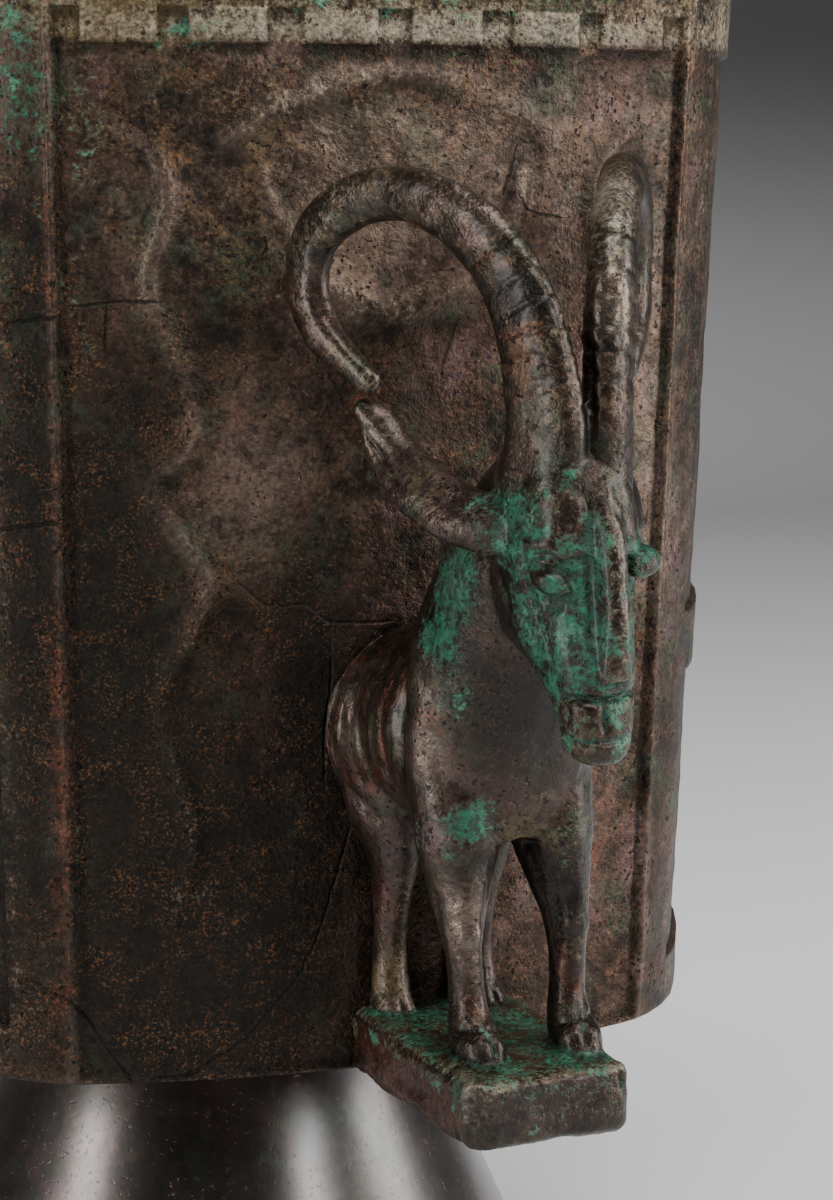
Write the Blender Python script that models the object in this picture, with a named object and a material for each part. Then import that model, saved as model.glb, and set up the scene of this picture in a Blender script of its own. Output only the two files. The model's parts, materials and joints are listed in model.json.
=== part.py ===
"""Bronze incense burner of ancient southern Arabia, as solids at its real size.

A hollow cup with a bowed facade stands on a hollow conical foot, and an ibex, cast in one with
its plinth, stands before the facade. Metres, +Z up, the facade faces -Y and the foot's underside
lies on Z = 0. Every figure of the ibex is given in its own millimetres and scaled by its height.
"""

import math

import bmesh
import bpy
import numpy as np
from mathutils import Vector

MM = 0.001

# Cup: an upright wall that flares a little, with a bowed facade between two creased corners
CUP_HEIGHT = 0.200
CUP_RADIUS = 0.0885
CUP_FLARE = 0.0094
CUP_WALL = 0.0055
CUP_FLOOR = 0.006
EDGE_ROUNDING = 0.0012
FACADE_REACH = 0.0912
FACADE_HALF_WIDTH = 0.0522
BOW_RADIUS = 0.156
CORNER_EASE = math.radians(20)

# Panels and frame of the cup's wall
RECESS_DEPTH = 0.0012
PILASTER_WIDTH = 0.010
SIDE_PANELS = 8
BOTTOM_BAR = 0.0095
MIDDLE_BAR_FROM = 0.061
MIDDLE_BAR_TO = 0.0724
BAND_FROM = 0.1695
GROOVE_WIDTH = 0.0010
GROOVE_DEPTH = 0.0010

# Dentils that hang from the top band over the facade (middle, width), and the rim above it
DENTILS = [
    (-0.0453, 0.0116), (-0.0286, 0.0122), (-0.0103, 0.0121),
    (0.0080, 0.0124), (0.0265, 0.0122), (0.0440, 0.0131),
]
DENTIL_DROP = 0.0056
LIP_HEIGHT = 0.006
LIP_REACH = 0.0012

# Relief on the facade, in places (across, up) measured on its face
SERPENT_WIDTH = 0.0046
SERPENT_RISE = 0.0019
SERPENT_TURNS = [
    (-0.0458, 0.1568), (-0.0398, 0.1519), (-0.0373, 0.1438), (-0.0401, 0.1305),
    (-0.0338, 0.1090), (-0.0402, 0.0985), (-0.0316, 0.0830), (-0.0382, 0.0640),
    (-0.0332, 0.0412), (-0.0375, 0.0258),
]
CRESCENT_UP = 0.150
CRESCENT_RADIUS = 0.0225
CRESCENT_WIDTH = 0.0080
CRESCENT_RISE = 0.0026
DISC_RADIUS = 0.0095
DISC_RISE = 0.0017
ARCH_HALF_SPAN = 0.0285
ARCH_UP = 0.1545
ARCH_RISE_OVER_SPAN = 0.0108
ARCH_WIDTH = 0.0032
ARCH_RISE = 0.0012

# Foot: a hollow cone with a low ring at the ground
FOOT_HEIGHT = 0.076
FOOT_TOP_RADIUS = 0.0344
FOOT_BOTTOM_RADIUS = 0.0678
FOOT_WALL = 0.0045
FOOT_TOP_PLATE = 0.006
FOOT_RING_HEIGHT = 0.005
FOOT_RING_REACH = 0.0014

# Ibex and its plinth, one casting beside the middle of the facade
IBEX_ACROSS = 0.010
IBEX_HEIGHT = 0.142
PLINTH_ACROSS = 0.0085
PLINTH_WIDTH = 0.029
PLINTH_LENGTH = 0.0475
PLINTH_THICKNESS = 0.0118
PLINTH_DROP = 0.0008
PLINTH_ROUNDING = 0.0016
HOOF_SINK = 0.0020
HORN_SPLAY = {-1: math.radians(28), 1: math.radians(31)}
HORN_STRETCH = {-1: 1.0, 1: 1.045}
HORN_RIBS = 16
HORN_RIB_SWELL = 0.05
IBEX_VOXEL = 0.0008

GAP = 0.0003


def material(name, colour, roughness, metallic):
    """A plain Principled material."""
    made = bpy.data.materials.new(name)
    made.use_nodes = True
    shader = made.node_tree.nodes["Principled BSDF"]
    shader.inputs["Base Color"].default_value = (*colour, 1.0)
    shader.inputs["Roughness"].default_value = roughness
    shader.inputs["Metallic"].default_value = metallic
    made.diffuse_color = (*colour, 1.0)
    return made


def add_object(name, mesh_builder, skin=None):
    """Put a bmesh into the scene as a named object, with its normals outward."""
    bmesh.ops.recalc_face_normals(mesh_builder, faces=mesh_builder.faces)
    mesh = bpy.data.meshes.new(name)
    mesh_builder.to_mesh(mesh)
    mesh_builder.free()
    made = bpy.data.objects.new(name, mesh)
    bpy.context.scene.collection.objects.link(made)
    if skin:
        mesh.materials.append(skin)
    return made


def as_guide(thing):
    """Mark an object as a cutter or an addition that isn't a piece of its own."""
    thing.hide_render = True
    thing.display_type = 'WIRE'
    return thing


def add_boolean(target, operation, guide):
    step = target.modifiers.new(operation.title(), 'BOOLEAN')
    step.operation = operation
    step.solver = 'EXACT'
    step.object = guide
    return step


def loft(mesh_builder, rings):
    """Skin a row of point rings and close both ends, all in one closed surface."""
    rows = [[mesh_builder.verts.new(point) for point in ring] for ring in rings]
    count = len(rows[0])
    for lower, upper in zip(rows, rows[1:]):
        for i in range(count):
            j = (i + 1) % count
            mesh_builder.faces.new((lower[i], lower[j], upper[j], upper[i]))
    mesh_builder.faces.new(rows[0][::-1])
    mesh_builder.faces.new(rows[-1])


def smooth_rows(knots, steps):
    """Rows of numbers run smoothly through the knots, by Catmull-Rom."""
    table = np.array(knots, dtype=float)
    padded = np.vstack([2 * table[0] - table[1], table, 2 * table[-1] - table[-2]])
    rows = []
    for i in range(1, len(padded) - 2):
        before, start, end, after = padded[i - 1:i + 3]
        for t in np.linspace(0, 1, steps, endpoint=False):
            rows.append(0.5 * (2 * start + (end - before) * t
                               + (2 * before - 5 * start + 4 * end - after) * t ** 2
                               + (3 * start - before - 3 * end + after) * t ** 3))
    rows.append(table[-1])
    return np.array(rows)


def squared(value, boxiness):
    """A sine or cosine pulled out towards the corners of a box when boxiness is below one."""
    return math.copysign(abs(value) ** boxiness, value)


def tube_rings(centres, half_across, half_deep, across, sides, boxiness=1.0):
    """Oval rings square to a path; across says which way their first axis leans."""
    centres = np.array(centres, dtype=float)
    tangents = np.gradient(centres, axis=0)
    rings = []
    for centre, tangent, wide, deep in zip(centres, tangents, half_across, half_deep):
        tangent = tangent / np.linalg.norm(tangent)
        first = across - tangent * np.dot(across, tangent)
        first = first / np.linalg.norm(first)
        second = np.cross(tangent, first)
        turns = 2 * math.pi * np.arange(sides) / sides
        rings.append([Vector(centre + first * wide * squared(math.cos(a), boxiness)
                             + second * deep * squared(math.sin(a), boxiness)) for a in turns])
    return rings


def corner_angle():
    """Where the facade's bow ends, seen from the cup's axis."""
    depth = math.sqrt(BOW_RADIUS ** 2 - FACADE_HALF_WIDTH ** 2) - (BOW_RADIUS - FACADE_REACH)
    return math.atan2(FACADE_HALF_WIDTH, depth)


def bow_radius_at(turn):
    """Distance from the cup's axis to the bow of the facade, in the direction turn."""
    setback = BOW_RADIUS - FACADE_REACH
    return math.sqrt(BOW_RADIUS ** 2 - (setback * math.sin(turn)) ** 2) - setback * math.cos(turn)


def plan_radius(angle):
    """The cup's plan at its underside: the bow in front, eased into the round side wall."""
    turn = abs((angle + math.pi) % (2 * math.pi) - math.pi)
    corner = corner_angle()
    if turn <= corner:
        return bow_radius_at(turn)
    ease = math.exp(-((turn - corner) / CORNER_EASE) ** 2)
    return CUP_RADIUS + (bow_radius_at(corner) - CUP_RADIUS) * ease


def wall_point(angle, up, inward=0.0):
    """A point of the cup's wall; angle 0 is the facade's middle, up starts at the underside."""
    radius = plan_radius(angle) + CUP_FLARE * up / CUP_HEIGHT - inward
    return Vector((radius * math.sin(angle), -radius * math.cos(angle), FOOT_HEIGHT + up))


def facade_angle(across, up):
    """The direction, from the cup's axis, of a place on the facade."""
    low, high = -math.pi / 3, math.pi / 3
    for _ in range(40):
        middle = (low + high) / 2
        if wall_point(middle, up).x < across:
            low = middle
        else:
            high = middle
    return middle


def field_point(across, up):
    """A place on the facade's recessed field."""
    return wall_point(facade_angle(across, up), up, RECESS_DEPTH)


def wall_block(mesh_builder, angles, bottoms, tops, outward, inward):
    """A block that follows the cup's wall, from outside it to a depth in it."""
    rings = []
    for angle, bottom, top in zip(angles, bottoms, tops):
        rings.append([
            wall_point(angle, bottom, inward), wall_point(angle, bottom, -outward),
            wall_point(angle, top, -outward), wall_point(angle, top, inward),
        ])
    loft(mesh_builder, rings)


def spread(start, end, largest):
    """Evenly spaced values from start to end, no further apart than largest."""
    return list(np.linspace(start, end, max(2, math.ceil(abs(end - start) / largest) + 1)))


def cup_angles():
    """Stations round the cup, closer together on the facade and at its corners."""
    corner = corner_angle()
    facade = spread(-corner, corner, math.radians(2.4))
    flank = spread(corner, corner + math.radians(30), math.radians(3.4))
    back = spread(flank[-1], 2 * math.pi - flank[-1], math.radians(5.4))
    other_flank = [2 * math.pi - angle for angle in reversed(flank)]
    return facade + flank[1:] + back[1:] + other_flank[1:-1]


def make_cup_body():
    """The plain cup: outer wall, lip, inner wall and floor in one closed surface."""
    angles = cup_angles()
    lip_from = CUP_HEIGHT - LIP_HEIGHT
    outside = [
        (0, EDGE_ROUNDING), (EDGE_ROUNDING, 0), (CUP_HEIGHT / 2, 0), (lip_from, 0),
        (lip_from + LIP_REACH, -LIP_REACH), (CUP_HEIGHT - LIP_REACH, -LIP_REACH),
        (CUP_HEIGHT, 0),
    ]
    inside = [(CUP_HEIGHT, CUP_WALL), (CUP_HEIGHT / 2, CUP_WALL), (CUP_FLOOR, CUP_WALL)]
    body = bmesh.new()
    loft(body, [[wall_point(angle, up, inward) for angle in angles]
                for up, inward in outside + inside])
    return body


def make_panel_cutter():
    """Two rows of recessed panels round the sides and back, between pilasters and bars."""
    pilaster = PILASTER_WIDTH / CUP_RADIUS
    start = corner_angle() + pilaster
    end = 2 * math.pi - start
    panel = (end - start - (SIDE_PANELS - 1) * pilaster) / SIDE_PANELS
    cutter = bmesh.new()
    for i in range(SIDE_PANELS):
        first = start + i * (panel + pilaster)
        angles = spread(first, first + panel, math.radians(5.4))
        for bottom, top in ((BOTTOM_BAR, MIDDLE_BAR_FROM), (MIDDLE_BAR_TO, BAND_FROM)):
            wall_block(cutter, angles, [bottom] * len(angles), [top] * len(angles),
                       3 * RECESS_DEPTH, RECESS_DEPTH)
    return cutter


def make_field_cutter():
    """The facade's field, whose top edge steps up between the dentils."""
    step = 0.00005
    outer = wall_point(corner_angle(), BAND_FROM).x - GROOVE_WIDTH
    places = []
    for middle, width in DENTILS:
        left = middle - width / 2
        right = middle + width / 2
        places += [(left - step, DENTIL_DROP), (left + step, 0), (middle, 0),
                   (right - step, 0), (right + step, DENTIL_DROP)]
    places = [(-outer, DENTIL_DROP)] + places + [(outer, DENTIL_DROP)]
    angles = [facade_angle(across, BAND_FROM) for across, _ in places]
    tops = [BAND_FROM + rise for _, rise in places]
    cutter = bmesh.new()
    wall_block(cutter, angles, [-RECESS_DEPTH] * len(angles), tops, 3 * RECESS_DEPTH, RECESS_DEPTH)
    return cutter


def make_groove_cutter():
    """The upright groove along each side of the facade's field."""
    cutter = bmesh.new()
    edge = corner_angle() - 1.5 * GROOVE_WIDTH / CUP_RADIUS
    for side in (-1, 1):
        angles = [side * edge, side * (edge + GROOVE_WIDTH / CUP_RADIUS)]
        wall_block(cutter, angles, [BOTTOM_BAR] * 2, [BAND_FROM] * 2,
                   3 * RECESS_DEPTH, RECESS_DEPTH + GROOVE_DEPTH)
    return cutter


def raised_strip(mesh_builder, path, half_widths, rises, sides=8):
    """A rounded strip that lies on the facade's field along a path of (across, up)."""
    centres = [np.array(field_point(across, up)) for across, up in path]
    tangents = np.gradient(np.array(centres), axis=0)
    rings = []
    for centre, tangent, half, rise in zip(centres, tangents, half_widths, rises):
        outward = np.array((centre[0], centre[1], 0.0))
        outward = outward / np.linalg.norm(outward)
        along = tangent / np.linalg.norm(tangent)
        across = np.cross(along, outward)
        turns = 2 * math.pi * np.arange(sides) / sides
        rings.append([Vector(centre + across * half * math.cos(a) + outward * rise * math.sin(a))
                      for a in turns])
    loft(mesh_builder, rings)


def make_facade_relief():
    """Two serpents, a crescent with a disc, and the low arch over them."""
    relief = bmesh.new()
    for side in (-1, 1):
        turns = [(-side * across, up) for across, up in SERPENT_TURNS]
        path = smooth_rows(turns, 4)
        share = np.linspace(0, 1, len(path))
        body = np.minimum(1, 0.45 + 4 * share) * (1 - 0.6 * share ** 3)
        raised_strip(relief, path, SERPENT_WIDTH / 2 * body, SERPENT_RISE * body)
    sweep = np.linspace(math.radians(182), math.radians(358), 19)
    fullness = np.sin(np.linspace(math.radians(8), math.radians(172), len(sweep)))
    crescent = [(CRESCENT_RADIUS * math.cos(a), CRESCENT_UP + CRESCENT_RADIUS * math.sin(a))
                for a in sweep]
    raised_strip(relief, crescent, CRESCENT_WIDTH / 2 * fullness,
                 CRESCENT_RISE * (0.35 + 0.65 * fullness), 10)
    spans = np.linspace(-1, 1, 13)
    arch = [(ARCH_HALF_SPAN * t, ARCH_UP + ARCH_RISE_OVER_SPAN * (1 - t * t)) for t in spans]
    flat = np.ones(len(spans))
    raised_strip(relief, arch, ARCH_WIDTH / 2 * flat, ARCH_RISE * flat)
    bmesh_disc(relief)
    return relief


def bmesh_disc(mesh_builder):
    """The low domed disc between the crescent's horns."""
    rings = []
    for height in (-0.8, 0.0, 0.55, 0.85, 0.97):
        radius = DISC_RADIUS * math.sqrt(1 - height * height)
        ring = []
        for a in 2 * math.pi * np.arange(20) / 20:
            place = field_point(radius * math.cos(a), CRESCENT_UP + radius * math.sin(a))
            ring.append(place + Vector((0, -DISC_RISE * height, 0)))
        rings.append(ring)
    loft(mesh_builder, rings)


def make_cup(skin):
    cup = add_object("cup", make_cup_body(), skin)
    panels = as_guide(add_object("cut_side_panels", make_panel_cutter()))
    field = as_guide(add_object("cut_facade_field", make_field_cutter()))
    grooves = as_guide(add_object("cut_frame_grooves", make_groove_cutter()))
    relief = as_guide(add_object("add_facade_relief", make_facade_relief()))
    add_boolean(cup, 'DIFFERENCE', panels)
    add_boolean(cup, 'DIFFERENCE', field)
    add_boolean(cup, 'DIFFERENCE', grooves)
    add_boolean(cup, 'UNION', relief)
    return cup


def make_foot(skin):
    """The foot's profile, down its outer side and back up inside, turned about Z."""
    top = FOOT_HEIGHT - GAP
    ring_radius = FOOT_BOTTOM_RADIUS + FOOT_RING_REACH
    lean = (FOOT_BOTTOM_RADIUS - FOOT_TOP_RADIUS) / FOOT_HEIGHT
    ring_top = FOOT_BOTTOM_RADIUS - lean * FOOT_RING_HEIGHT
    ceiling = top - FOOT_TOP_PLATE
    profile = [
        (0, top), (FOOT_TOP_RADIUS - EDGE_ROUNDING, top), (FOOT_TOP_RADIUS, top - EDGE_ROUNDING),
        (FOOT_TOP_RADIUS + lean * top / 2, top / 2),
        (ring_top, FOOT_RING_HEIGHT + FOOT_RING_REACH), (ring_radius, FOOT_RING_HEIGHT),
        (ring_radius, EDGE_ROUNDING), (ring_radius - EDGE_ROUNDING, 0),
        (FOOT_BOTTOM_RADIUS - FOOT_WALL, 0),
        (FOOT_TOP_RADIUS + lean * (top - ceiling) - FOOT_WALL, ceiling), (0, ceiling),
    ]
    outline = bmesh.new()
    points = [outline.verts.new((radius, 0, height)) for radius, height in profile]
    for start, end in zip(points, points[1:]):
        outline.edges.new((start, end))
    mesh = bpy.data.meshes.new("conical_foot")
    outline.to_mesh(mesh)
    outline.free()
    mesh.materials.append(skin)
    foot = bpy.data.objects.new("conical_foot", mesh)
    bpy.context.scene.collection.objects.link(foot)
    turn = foot.modifiers.new("Turned", 'SCREW')
    turn.steps = 56
    turn.render_steps = 56
    turn.use_merge_vertices = True
    turn.merge_threshold = 0.00001
    turn.use_normal_calculate = True
    return foot


# The ibex in its own millimetres: across from its mid-plane, forward from the wall at its
# plinth, and up from the plinth's top. A row is (across, forward, up, half width, half depth).
FIGURE_HEIGHT = 142.0
FORE_HOOF = 33.0
HIND_HOOF = 4.0
HIND_SWAY = -2.5
BACK_TOP = 68.0
NECK_TOP = 84.0
TRUNK = [
    (0, -6, 50, 19.5, 18.5), (0, 3, 50, 18.8, 17.5), (0, 12, 51, 16.3, 17), (0, 21, 50.5, 15, 17),
    (0, 28, 48, 14.2, 15), (0, 33, 46, 11, 12), (0, 36.5, 45, 4, 5),
]
NECK = [
    (0, 24, 36, 13.5, 10), (0, 25, 46, 15.4, 12), (0, 26, 56, 15.2, 13), (0, 28, 66, 14.2, 14),
    (0, 32, 76, 12.4, 14.5), (0, 38, 85, 10.2, 13.5), (0, 45, 92, 8, 10.5),
]
HEAD = [
    (0, 49, 102, 6, 7), (0, 48.5, 96, 9.0, 11.5), (0, 48.0, 87, 9.9, 14.0),
    (0, 49.0, 79, 9.5, 14.4), (0, 54.8, 70.5, 7.3, 9.6), (0, 59.2, 63, 5.9, 6.2),
    (0, 60.8, 57.5, 5.3, 4.7), (0, 61, 54.4, 4.6, 4.2),
]
HEAD_BOXINESS = 0.8
NOSE_RIDGE = [
    (1.3, 58.0, 98, 2.0, 3.0), (1.2, 61.3, 88, 2.0, 3.0), (1.2, 63.8, 78, 2.0, 2.9),
    (1.2, 65.4, 70, 2.1, 2.6), (1.2, 65.6, 65.2, 2.1, 2.0),
]
FRONT_LEG = [
    (7.5, 25, 48, 7.5, 9), (8.2, 28, 36, 6.6, 7.4), (8.6, 29.5, 30, 5.2, 6), (9.1, 31.3, 23, 3.7, 4.3),
    (9.0, 32.3, 16, 2.8, 3.3), (8.7, 32.8, 10, 2.9, 3.3), (8.6, 33.8, 6, 3.4, 3.8),
    (8.5, 35.5, 2.2, 3.6, 4.6), (8.5, 37, -1.5, 4.3, 5.6),
]
HIND_LEG = [
    (9.0, 3, 48, 8.5, 11), (8.6, 5, 36, 6.6, 8), (8.0, 5.5, 28, 4, 5.4), (7.9, 4.5, 19, 2.8, 3.6),
    (7.9, 3.8, 12, 2.7, 3.2), (8.0, 4.5, 6, 3.1, 3.5), (8.2, 5.6, 2, 3.6, 4.4), (8.3, 6.5, -1.5, 4.4, 5.2),
]
EAR = [
    (6, 49, 87.5, 4.8, 3.6), (12, 43, 88, 4.9, 2.9), (15, 37.5, 89.9, 5.0, 2.4),
    (17.4, 31.5, 93.2, 4.7, 2.2), (18.8, 26, 97.4, 4.0, 1.9), (20.4, 22.7, 101.9, 3.0, 1.5),
    (22.3, 20.3, 104.6, 1.4, 1.0),
]
EAR_LEAN = (-0.74, 0.2, 0.66)
EYE = {-1: (7.8, 61, 80), 1: (7.8, 59.5, 83)}
EYE_HALVES = (2.4, 2.6, 2.8)
HORN_FOOT = (5.4, 52.5)
# The horn's curve in its own upright plane: (back from the horn's foot, up, half width, half thick)
HORN = [
    (1.0, 88, 6.4, 3.1), (0.0, 97, 7.2, 3.3), (-0.3, 106, 6.7, 3.2), (3.9, 121, 5.8, 3.1),
    (12.5, 131.5, 5.0, 3.0), (24.8, 136.8, 4.3, 2.9), (35.8, 136.1, 4.2, 2.8),
    (44.3, 130.8, 4.1, 2.8), (46.5, 122.6, 3.8, 2.7), (43.3, 115.0, 3.2, 2.5), (32.6, 107.4, 1.7, 1.5),
]


def place_ibex(point):
    """From the ibex's own millimetres to the world; its hindquarters stand a little to one side."""
    unit = IBEX_HEIGHT / FIGURE_HEIGHT
    across, forward, up = point
    behind = min(max((FORE_HOOF - forward) / (FORE_HOOF - HIND_HOOF), 0), 1)
    below = min(max((NECK_TOP - up) / (NECK_TOP - BACK_TOP), 0), 1)
    across += HIND_SWAY * behind * below
    wall = field_point(IBEX_ACROSS, 0).y
    ground = FOOT_HEIGHT - PLINTH_DROP + PLINTH_THICKNESS - HOOF_SINK
    return Vector((IBEX_ACROSS + across * unit, wall - forward * unit, ground + up * unit))


def add_limb(mesh_builder, rows, side=1, sides=14, across=(1, 0, 0), steps=4, boxiness=1.0):
    """A limb with oval sections through the rows, mirrored when side is -1."""
    table = smooth_rows(rows, steps)
    centres = table[:, :3] * (side, 1, 1)
    lean = np.array(across, dtype=float) * (side, 1, 1)
    rings = tube_rings(centres, table[:, 3], table[:, 4], lean, sides, boxiness)
    loft(mesh_builder, [[place_ibex(point) for point in ring] for ring in rings])


def add_egg(mesh_builder, centre, halves, side):
    """An egg-shaped swelling such as an eye."""
    start = len(mesh_builder.verts)
    bmesh.ops.create_icosphere(mesh_builder, subdivisions=2, radius=1.0)
    mesh_builder.verts.ensure_lookup_table()
    for vertex in mesh_builder.verts[start:]:
        local = [c + h * v for c, h, v in zip(centre, halves, vertex.co)]
        vertex.co = place_ibex((side * local[0], local[1], local[2]))


def add_horn(mesh_builder, side):
    """A ribbed horn that rises, arches back and curls down, in a plane splayed outward."""
    table = smooth_rows(HORN, 6)
    share = np.linspace(0, 1, len(table))
    ribs = np.maximum(0, np.cos(2 * math.pi * HORN_RIBS * share / 0.72))
    swell = 1 + HORN_RIB_SWELL * ribs * (share < 0.72)
    splay = HORN_SPLAY[side]
    back = np.array((math.sin(splay) * side, -math.cos(splay), 0.0))
    foot = np.array((HORN_FOOT[0] * side, HORN_FOOT[1], 0.0))
    rise = HORN[0][1] + (table[:, 1] - HORN[0][1]) * HORN_STRETCH[side]
    centres = [foot + back * row[0] + np.array((0, 0, up)) for row, up in zip(table, rise)]
    normal = np.array((math.cos(splay) * side, math.sin(splay), 0.0))
    rings = tube_rings(centres, table[:, 3] * swell, table[:, 2] * swell, normal, 12)
    loft(mesh_builder, [[place_ibex(point) for point in ring] for ring in rings])


def make_ibex(skin):
    """Limbs run together as one casting, cleared from the wall and stood on the plinth."""
    figure = bmesh.new()
    add_limb(figure, TRUNK, sides=20)
    add_limb(figure, NECK, sides=18)
    add_limb(figure, HEAD, sides=24, boxiness=HEAD_BOXINESS)
    add_limb(figure, NOSE_RIDGE)
    for side in (-1, 1):
        add_limb(figure, FRONT_LEG, side)
        add_limb(figure, HIND_LEG, side)
        add_limb(figure, EAR, side, across=EAR_LEAN)
        add_egg(figure, EYE[side], EYE_HALVES, side)
        add_horn(figure, side)
    ibex = add_object("ibex", figure, skin)
    cast = ibex.modifiers.new("Cast", 'REMESH')
    cast.mode = 'VOXEL'
    cast.voxel_size = IBEX_VOXEL
    ease = ibex.modifiers.new("Ease", 'SMOOTH')
    ease.factor = 0.5
    ease.iterations = 3
    thin = ibex.modifiers.new("Thin", 'DECIMATE')
    thin.ratio = 0.047
    add_boolean(ibex, 'UNION', as_guide(add_object("add_plinth", make_plinth())))
    add_boolean(ibex, 'DIFFERENCE', as_guide(add_object("cut_wall_gap", make_wall_gap())))
    return ibex


def make_plinth():
    """The worn plinth under the ibex's hooves, a little lower than the cup's underside."""
    back = field_point(IBEX_ACROSS, 0).y + 2 * MM
    front = field_point(IBEX_ACROSS, 0).y - PLINTH_LENGTH
    plinth = bmesh.new()
    bmesh.ops.create_cube(plinth, size=1.0)
    for vertex in plinth.verts:
        vertex.co.x = PLINTH_ACROSS + vertex.co.x * PLINTH_WIDTH
        vertex.co.y = (front + back) / 2 + vertex.co.y * (back - front)
        vertex.co.z = FOOT_HEIGHT - PLINTH_DROP + PLINTH_THICKNESS * (0.5 + vertex.co.z)
    bmesh.ops.bevel(plinth, geom=plinth.edges[:], offset=PLINTH_ROUNDING, segments=2,
                    profile=0.6, affect='EDGES')
    return plinth


def make_wall_gap():
    """What the ibex keeps clear of: the facade's field and a small gap before it."""
    reach = corner_angle()
    angles = spread(-reach, reach, math.radians(2.4))
    cutter = bmesh.new()
    inward = RECESS_DEPTH - GAP
    wall_block(cutter, angles, [-0.004] * len(angles), [BAND_FROM] * len(angles), -inward, 0.030)
    return cutter


def centre_on_depth(things):
    """Shift the whole model so that its reach to the front and to the back are equal."""
    bpy.context.view_layer.update()
    depsgraph = bpy.context.evaluated_depsgraph_get()
    reach = []
    for thing in things:
        shape = thing.evaluated_get(depsgraph).to_mesh()
        reach += [vertex.co.y for vertex in shape.vertices]
    shift = -(min(reach) + max(reach)) / 2
    for thing in bpy.context.scene.objects:
        thing.location.y += shift


def main():
    for leftover in list(bpy.data.objects):
        bpy.data.objects.remove(leftover, do_unlink=True)
    dark_bronze = material("dark_bronze", (0.075, 0.055, 0.042), 0.55, 0.75)
    worn_bronze = material("worn_bronze", (0.105, 0.070, 0.052), 0.38, 0.85)
    patina_bronze = material("patina_bronze", (0.12, 0.10, 0.065), 0.48, 0.70)
    cup = make_cup(dark_bronze)
    foot = make_foot(worn_bronze)
    ibex = make_ibex(patina_bronze)
    centre_on_depth([cup, foot, ibex])


main()
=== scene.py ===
# %% [markdown]
# # A bronze incense burner with an ibex
# The burner is three castings: a hollow cup with a bowed facade, the hollow conical foot that it
# stands on, and an ibex on its own plinth in front. Each was cast from a wax model, so nothing on
# it is quite flat or straight, and long ages underground gave it a crust of colours.
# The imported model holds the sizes. Here each casting gets its true surface and its patina.

import json
import math

import bpy
import numpy as np
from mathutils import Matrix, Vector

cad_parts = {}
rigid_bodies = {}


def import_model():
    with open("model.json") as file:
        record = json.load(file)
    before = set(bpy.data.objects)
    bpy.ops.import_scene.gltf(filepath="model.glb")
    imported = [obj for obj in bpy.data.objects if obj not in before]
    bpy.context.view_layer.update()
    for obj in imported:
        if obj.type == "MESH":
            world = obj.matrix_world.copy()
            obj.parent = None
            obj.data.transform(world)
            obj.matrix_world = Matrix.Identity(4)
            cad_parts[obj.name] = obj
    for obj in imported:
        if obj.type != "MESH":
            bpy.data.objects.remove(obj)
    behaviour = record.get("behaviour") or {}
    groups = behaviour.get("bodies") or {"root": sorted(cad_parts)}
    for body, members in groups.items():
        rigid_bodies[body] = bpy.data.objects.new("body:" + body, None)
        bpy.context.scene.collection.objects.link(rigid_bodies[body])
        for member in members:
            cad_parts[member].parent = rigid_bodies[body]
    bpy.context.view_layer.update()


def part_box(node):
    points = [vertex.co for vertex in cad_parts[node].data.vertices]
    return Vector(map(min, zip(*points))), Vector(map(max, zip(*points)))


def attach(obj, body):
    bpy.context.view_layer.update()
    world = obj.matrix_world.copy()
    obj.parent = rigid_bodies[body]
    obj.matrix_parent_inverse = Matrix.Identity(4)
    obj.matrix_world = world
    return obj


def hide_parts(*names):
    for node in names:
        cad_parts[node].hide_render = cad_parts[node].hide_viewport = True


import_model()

# %% [markdown]
# ## Where the camera stands
# The photograph is taken with a long lens from a little above the animal's head and from the
# side of its right ear, so its tilt and turn are small and lines stay nearly parallel. A long
# lens is set by its focal length against the longer side of the picture.

# %% Camera
PHOTO_TILT = math.radians(7.88)
PHOTO_TURN = math.radians(22.7)
PHOTO_PLACE = (-0.1922, -0.5346, 0.226)
LENS = 93.6
bpy.ops.object.camera_add(location=PHOTO_PLACE,
                          rotation=(math.pi / 2 - PHOTO_TILT, 0, -PHOTO_TURN))
camera = bpy.context.object
camera.name = "studio_camera"
camera.data.sensor_width = 36
camera.data.lens = LENS
camera.data.clip_start = 0.01
bpy.context.scene.camera = camera
print("Camera at", [round(value, 3) for value in camera.location])

# %% [markdown]
# ## Small helpers
# Blender's tools act on whatever is selected, and loading the frame leaves its nodes selected.
# So one helper clears the selection and picks a single piece, and another one adds a modifier
# and applies it, as one would do by hand.

# %% Pick one piece, and apply one modifier
def pick(piece):
    bpy.ops.object.select_all(action='DESELECT')
    piece.select_set(True)
    bpy.context.view_layer.objects.active = piece


def finish_with(piece, kind, **settings):
    pick(piece)
    step = piece.modifiers.new(kind.title(), kind)
    for name, value in settings.items():
        setattr(step, name, value)
    bpy.ops.object.modifier_apply(modifier=step.name)


# %% Read and move a piece's points, in millimetres
def points_of(piece):
    flat = np.empty(len(piece.data.vertices) * 3)
    piece.data.vertices.foreach_get("co", flat)
    return flat.reshape(-1, 3) * 1000


def move_points(piece, points):
    piece.data.vertices.foreach_set("co", (points / 1000).ravel())
    piece.data.update()


def normals_of(piece):
    flat = np.empty(len(piece.data.vertices) * 3)
    piece.data.vertex_normals.foreach_get("vector", flat)
    return flat.reshape(-1, 3)


# %% [markdown]
# A cast surface waves softly, and its pits and patches have no pattern. Humps are random
# numbers on a grid in space, joined smoothly, so the same seed gives the same surface each time.
# Soft steps and the distance to a drawn path are enough to raise or sink everything else.

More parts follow.
